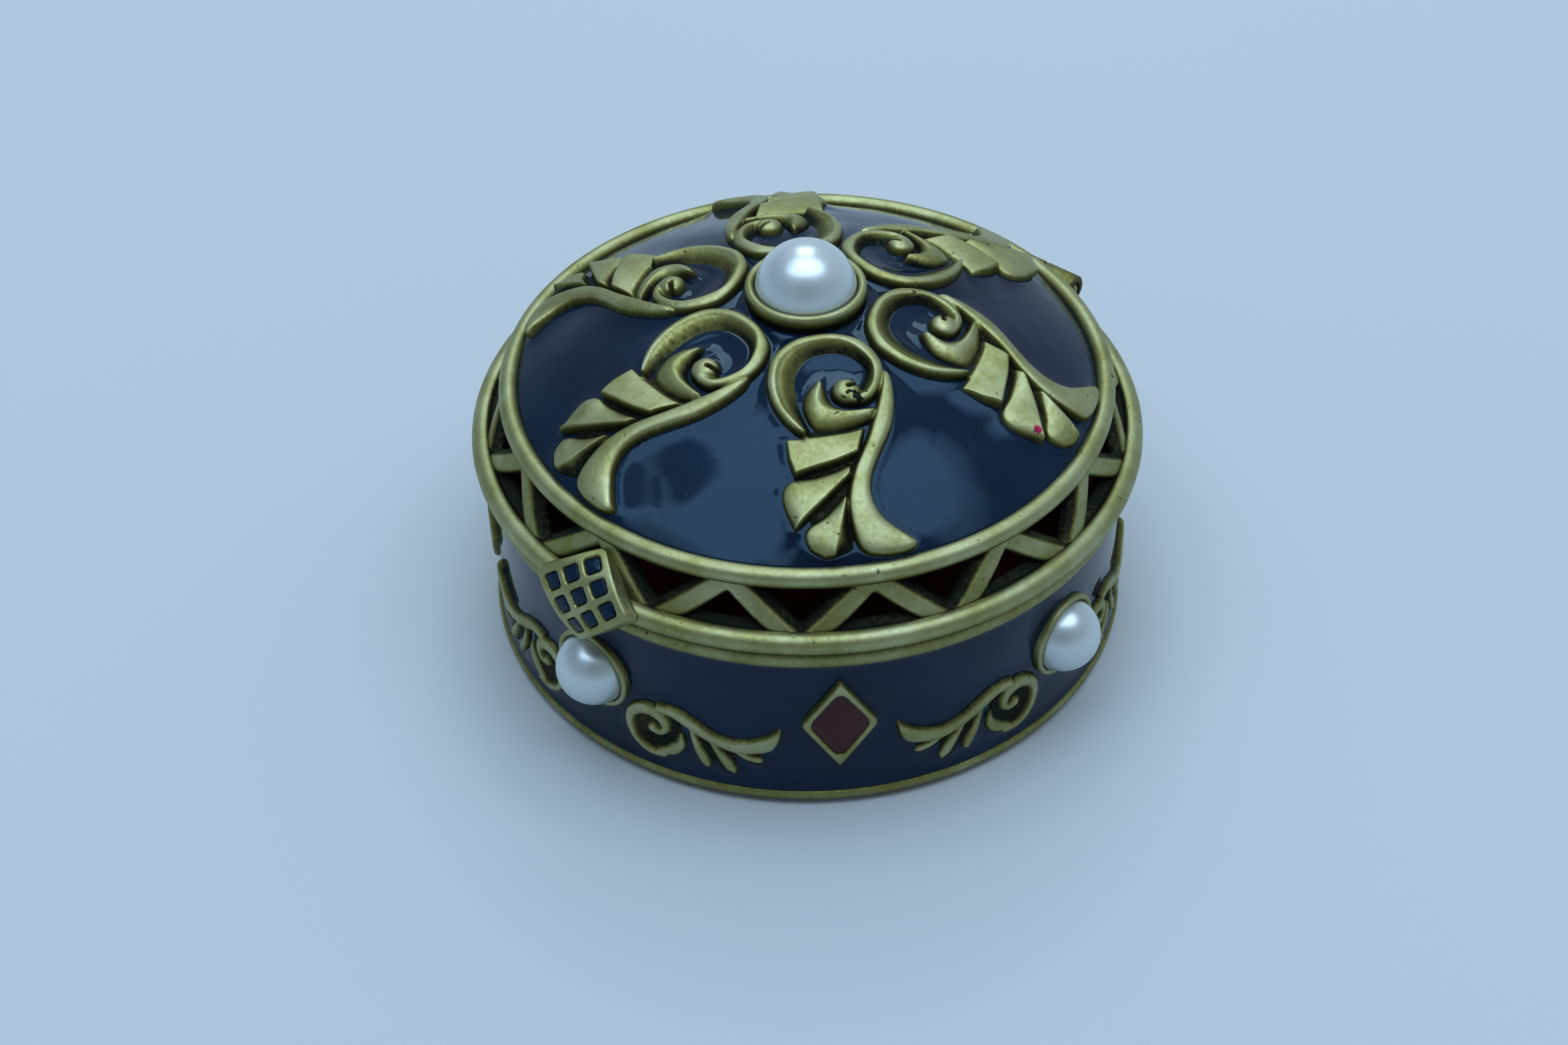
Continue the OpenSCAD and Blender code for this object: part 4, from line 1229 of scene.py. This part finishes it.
class PILLBOX_OT_lid_scrolls(bpy.types.Operator):
    """Raised scrolls on the dome, cast with rounded tops"""
    bl_idname = "pillbox.lid_scrolls"
    bl_label = "Dome scrolls"

    def execute(self, context):
        s = sizes()
        count = 6
        first_turn = -4.7
        middle = UP * s.dome_z

        def lay(across, out):
            """A drawn point on the dome"""
            up = Vector((across, -out, math.sqrt(s.dome_r ** 2 - across ** 2 - out ** 2))) / s.dome_r
            return middle + up * s.dome_r, up

        cast = relief_sheet(list(DOME_SCROLL.values()), spacing=0.075, wall=0.13, lay=lay, slit=DOME_SLIT)
        for n in range(count):
            copy = cast.copy()
            if n == 1:
                self.chip(copy)
            if n == 2:
                self.fleck(copy)
            turned(copy, math.radians(first_turn + 360 / count * n))
            piece(copy, f"dome_scroll_{n + 1}", "lid", "brass", [f"lid_scroll_{n + 1}"], 180)
        cast.free()
        return {"FINISHED"}

    def chip(self, bm):
        """Dark chips where the finish has broken off the front knob"""
        bare = 1.3
        across, out, flatness = 0.55, 11.75, 0.42
        layer = bm.verts.layers.float["hollow"]
        for v in bm.verts:
            off = math.hypot(v.co.x - across, (-v.co.y - out) / flatness)
            if off + 1.1 * noise.noise(v.co * 3.1) < 0.6:
                v[layer] = bare

    def fleck(self, bm):
        """A fleck of red lacquer on the tip of a leaf"""
        tip = Vector((-6.2, -19.6))
        mark(bm, lambda p: 2.4 - 6.2 * (p.xy - tip).length + noise.noise(p * 2), "fleck")


class PILLBOX_OT_centre_pearl(bpy.types.Operator):
    """Half pearl on the dome, in a bezel with a rolled rim"""
    bl_idname = "pillbox.centre_pearl"
    bl_label = "Centre pearl"

    def execute(self, context):
        s = sizes()
        bezel_h = 2.3
        bezel = pearl_bezel(s.centre_pearl, s.centre_bezel, s.centre_rim, s.centre_rim - bezel_h)
        piece(bezel, "centre_bezel_cast", "lid", "brass", ["centre_bezel"])
        pearl = half_pearl(s.centre_pearl, s.centre_rim - PEARL_SEAT)
        piece(pearl, "centre_pearl_set", "lid", "pearl", ["centre_pearl"])
        return {"FINISHED"}


class PILLBOX_OT_lid_enamel(bpy.types.Operator):
    """Navy enamel on the dome, pooled round the scrolls"""
    bl_idname = "pillbox.lid_enamel"
    bl_label = "Dome enamel"

    def execute(self, context):
        s = sizes()
        inner_r = 4.4
        outer_r = s.field_r + 0.1
        inner_depth, outer_depth = 0.55, 0.4
        inner, outer = (math.degrees(math.acos(r / s.dome_r)) for r in (inner_r, outer_r))
        face = arc(s.dome_r, (0, s.dome_z), inner, outer, 96)
        outline = [(face[0][0], face[0][1] - inner_depth)] + face + [(face[-1][0], face[-1][1] - outer_depth)]
        bm = solid_of(outline, 360)
        middle = UP * s.dome_z

        def outward(p):
            """Out from the dome on the face, and nothing below it"""
            out = p - middle
            return out.normalized() if out.length > s.dome_r - 0.05 else Vector()

        pool(bm, outward, tree_of([f"dome_scroll_{n}" for n in range(1, 7)] + ["centre_bezel_cast"]))
        piece(bm, "dome_enamel", "lid", "navy_enamel", ["lid_enamel"])
        return {"FINISHED"}


class PILLBOX_OT_tab(bpy.types.Operator):
    """Curved square thumb tab with enamelled cells"""
    bl_idname = "pillbox.tab"
    bl_label = "Thumb tab"

    def execute(self, context):
        s = sizes()
        pitch = 1.88
        cell = 1.16
        opening = 1.4
        cell_h = 0.2
        bright_edge = 0.35
        half = s.tab_side / 2
        places = [((n // 3 - 1) * pitch, (n % 3 - 1) * pitch) for n in range(9)]
        loops = [self.rounded_square(0, 0, s.tab_side - 0.1, 0.55)]
        loops += [self.rounded_square(x, y, opening, 0.3) for x, y in places]
        flat_side = (1, 1, 0)
        face = dict(loops=loops, ridge=[(-half, 0), (half, 0)], height=0.02, left=flat_side, right=flat_side)

        def lay(x, y):
            """A drawn point on the flat tab"""
            return Vector((x, y, 0)), UP

        bm = relief_sheet([face], spacing=0.07, wall=0.2, lay=lay, sunk=s.tab_t - 0.1)
        layer = bm.verts.layers.float["hollow"]
        for v in bm.verts:
            if max(abs(v.co.x), abs(v.co.y)) > half - bright_edge:
                v[layer] = min(v[layer], 0.15)
        self.wrap(bm, s)
        piece(bm, "thumb_tab", "lid", "brass", ["lid_tab"], 60)
        for n, (x, y) in enumerate(places):
            bm = bmesh.new()
            block = Matrix.Translation((x, y, -cell_h)) @ Matrix.Diagonal((cell, cell, cell_h, 1))
            bmesh.ops.create_cube(bm, size=1, matrix=block)
            soften(bm, 0.09, 50)
            long = [e for e in bm.edges if e.calc_length() > 0.4]
            bmesh.ops.subdivide_edges(bm, edges=long, cuts=2, use_grid_fill=True)
            self.wrap(bm, s)
            piece(bm, f"tab_cell_{n + 1}", "lid", "navy_enamel", [f"tab_enamel_{n + 1}"], 60)
        return {"FINISHED"}

    def rounded_square(self, x, y, side, radius):
        """Points round a square with eased corners"""
        steps = 5
        reach = side / 2 - radius
        path = []
        for right, up, start in ((1, 1, 0), (-1, 1, 90), (-1, -1, 180), (1, -1, 270)):
            path += arc(radius, (x + right * reach, y + up * reach), start, start + 90, steps)
        return np.array(path + path[:1])

    def wrap(self, bm, s):
        """Turns the flat square on its corner and bends it over the rim"""
        gap = 0.03
        tilt = math.radians(28)
        turned(bm, QUARTER / 2)
        reach = s.outer_bead / 2 + s.tab_t + gap - s.tab_r
        centre = Vector((s.bead_r + reach * math.cos(tilt), s.bead_z + reach * math.sin(tilt)))
        for v in bm.verts:
            angle = tilt + v.co.y / s.tab_r
            out = s.tab_r + v.co.z
            r = centre.x + out * math.cos(angle)
            v.co = (v.co.x, -math.sqrt(r * r - v.co.x ** 2), centre.y + out * math.sin(angle))
        turned(bm, math.radians(s.tab_turn))
        closed(bm)


class PILLBOX_OT_lid_lining(bpy.types.Operator):
    """Velvet under the dome"""
    bl_idname = "pillbox.lid_lining"
    bl_label = "Lid lining"

    def execute(self, context):
        s = sizes()
        gap = 0.03
        outer = s.dome_r - s.lid_enamel - s.dome_t - gap
        reach = s.field_r - s.dome_bead
        edge = math.degrees(math.acos(reach / outer))
        outline = arc(outer, (0, s.dome_z), 90, edge, 24)
        bm = solid_of(outline + arc(outer - s.lining_t, (0, s.dome_z), edge + 0.6, 90, 24), 128)
        for v in bm.verts:
            if (v.co - UP * s.dome_z).length < outer - 0.3:
                v.co.z += 0.1 * noise.noise(v.co * 0.4)
        made = piece(bm, "lid_velvet", "lid", "velvet", ["lid_lining"], 180)
        return {"FINISHED"}


class PILLBOX_OT_stage(bpy.types.Operator):
    """Pale paper, soft light from a tent, and the camera"""
    bl_idname = "pillbox.stage"
    bl_label = "Stage"

    def execute(self, context):
        scene = context.scene
        scene.view_settings.view_transform = "Standard"
        self.floor()
        self.tent(scene)
        self.lamp("back_softbox", (-0.209, 0.244, 0.413), (0, 0, 0.02), 0.2, 0.42, (0.80, 0.95, 1))
        self.camera(scene)
        return {"FINISHED"}

    def floor(self):
        """A wide sheet of paper"""
        bm = bmesh.new()
        bmesh.ops.create_circle(bm, cap_ends=True, segments=96, radius=1.6)
        floor = placed("paper", mesh_of(bm, "paper"))
        floor.data.materials.append(finish("paper"))

    def tent(self, scene):
        """A pale tent, dimmer at the viewer's side and at the left, with a bright panel overhead"""
        world = bpy.data.worlds.new("tent")
        world.use_nodes = True
        scene.world = world
        tree = world.node_tree
        way = node(tree, "ShaderNodeTexCoord").outputs["Generated"]
        height = node(tree, "ShaderNodeSeparateXYZ", {0: way}).outputs["Z"]

        def facing(axis):
            """How far a direction points along an axis"""
            inputs = {0: way, 1: axis}
            return node(tree, "ShaderNodeVectorMath", inputs, operation="DOT_PRODUCT").outputs["Value"]

        person_lift = math.radians(36)
        across = facing((math.cos(VIEW_TURN), math.sin(VIEW_TURN), 0))
        toward = facing(outwards(VIEW_TURN))
        person = facing(outwards(VIEW_TURN) * math.cos(person_lift) + UP * math.sin(person_lift))
        spot = facing((-0.38, -0.234, 0.895))
        far, near, low = (0.41, 0.49, 0.57, 1), (0.25, 0.29, 0.32, 1), (0.42, 0.54, 0.65, 1)
        left, panel, shade = (0.2, 0.27, 0.34, 1), (2.3, 2.85, 3.5, 1), (0.14, 0.16, 0.18, 1)
        tone = blend_colours(tree, spread(tree, toward, -0.4, 0.5), far, near)
        tone = blend_colours(tree, spread(tree, across, -0.3, -0.75), tone, left)
        tone = blend_colours(tree, spread(tree, height, 0.05, 0.3), low, tone)
        wide = arithmetic(tree, "MULTIPLY", across, across)
        shifted = arithmetic(tree, "SUBTRACT", toward, 0.03)
        deep = arithmetic(tree, "MULTIPLY", shifted, shifted)
        off = arithmetic(tree, "ADD", arithmetic(tree, "MULTIPLY", wide, 0.45), deep)
        overhead = spread(tree, height, 0.3, 0.4)
        glow = arithmetic(tree, "MULTIPLY", spread(tree, off, 0.125, 0.19, 1, 0), overhead)
        tone = blend_colours(tree, glow, tone, panel)
        tone = blend_colours(tree, spread(tree, person, 0.9, 0.97), tone, shade)
        tone = blend_colours(tree, spread(tree, spot, 0.9935, 0.9975, 0, 0.8), tone, shade)
        feed(tree, tree.nodes["Background"], {"Color": tone, "Strength": 1})

    def lamp(self, name, place, target, size, energy, tint):
        """A square lamp that points at a target"""
        data = bpy.data.lights.new(name, "AREA")
        data.shape = "SQUARE"
        data.size = size
        data.energy = energy
        data.color = tint
        made = placed(name, data)
        made.location = place
        made.rotation_euler = (Vector(target) - Vector(place)).to_track_quat("-Z", "Y").to_euler()

    def camera(self, scene):
        """The fitted view; its distances count lid radii"""
        sensor = 36
        focal_pixels, photo_pixels = 3600, 2352
        lift, roll = math.radians(42.3), -0.0159
        unit = 0.027
        distance, shift_across, shift_up = 7.192, 0.0683, 0.3216
        aim = Vector((0, 0, 0.01745))
        data = bpy.data.cameras.new("camera")
        data.sensor_width = sensor
        data.lens = focal_pixels / photo_pixels * sensor
        data.clip_start = 0.01
        made = placed("camera", data)
        back = outwards(VIEW_TURN) * math.cos(lift) + UP * math.sin(lift)
        right = Vector((math.cos(VIEW_TURN), math.sin(VIEW_TURN), 0))
        up = back.cross(right)
        across = right * math.cos(roll) + up * math.sin(roll)
        above = up * math.cos(roll) - right * math.sin(roll)
        made.matrix_world = Matrix((across, above, back)).transposed().to_4x4()
        made.location = (back * distance - across * shift_across - above * shift_up) * unit + aim
        scene.camera = made


class PILLBOX_PT_pieces(bpy.types.Panel):
    """Buttons and sizes of the pill box"""
    bl_idname = "PILLBOX_PT_pieces"
    bl_label = "Pill box"
    bl_space_type = "VIEW_3D"
    bl_region_type = "UI"
    bl_category = "Pill box"

    def draw(self, context):
        """One button a piece, then the sizes and colours"""
        for operator in OPERATORS:
            self.layout.operator(operator.bl_idname)
        for group in (context.scene.pill_box_sizes, context.scene.pill_box_colours):
            column = self.layout.column(align=True)
            for name in group.__annotations__:
                column.prop(group, name)


OPERATORS = (
    PILLBOX_OT_base_cup, PILLBOX_OT_base_scrolls, PILLBOX_OT_side_pearls, PILLBOX_OT_lozenges,
    PILLBOX_OT_base_enamel, PILLBOX_OT_base_lining, PILLBOX_OT_lid_frame, PILLBOX_OT_lid_scrolls,
    PILLBOX_OT_centre_pearl, PILLBOX_OT_lid_enamel, PILLBOX_OT_tab, PILLBOX_OT_lid_lining,
    PILLBOX_OT_hinge, PILLBOX_OT_stage,
)
CLASSES = (PillBoxSizes, PillBoxColours) + OPERATORS + (PILLBOX_PT_pieces,)


def register():
    """Adds the classes and the settings of a scene"""
    for made in CLASSES:
        bpy.utils.register_class(made)
    bpy.types.Scene.pill_box_sizes = PointerProperty(type=PillBoxSizes)
    bpy.types.Scene.pill_box_colours = PointerProperty(type=PillBoxColours)


def unregister():
    """Takes them out again"""
    del bpy.types.Scene.pill_box_colours
    del bpy.types.Scene.pill_box_sizes
    for made in reversed(CLASSES):
        bpy.utils.unregister_class(made)


def main():
    """Builds every piece and the stage"""
    register()
    for operator in OPERATORS:
        group, name = operator.bl_idname.split(".")
        getattr(getattr(bpy.ops, group), name)()


if __name__ == "__main__":
    main()
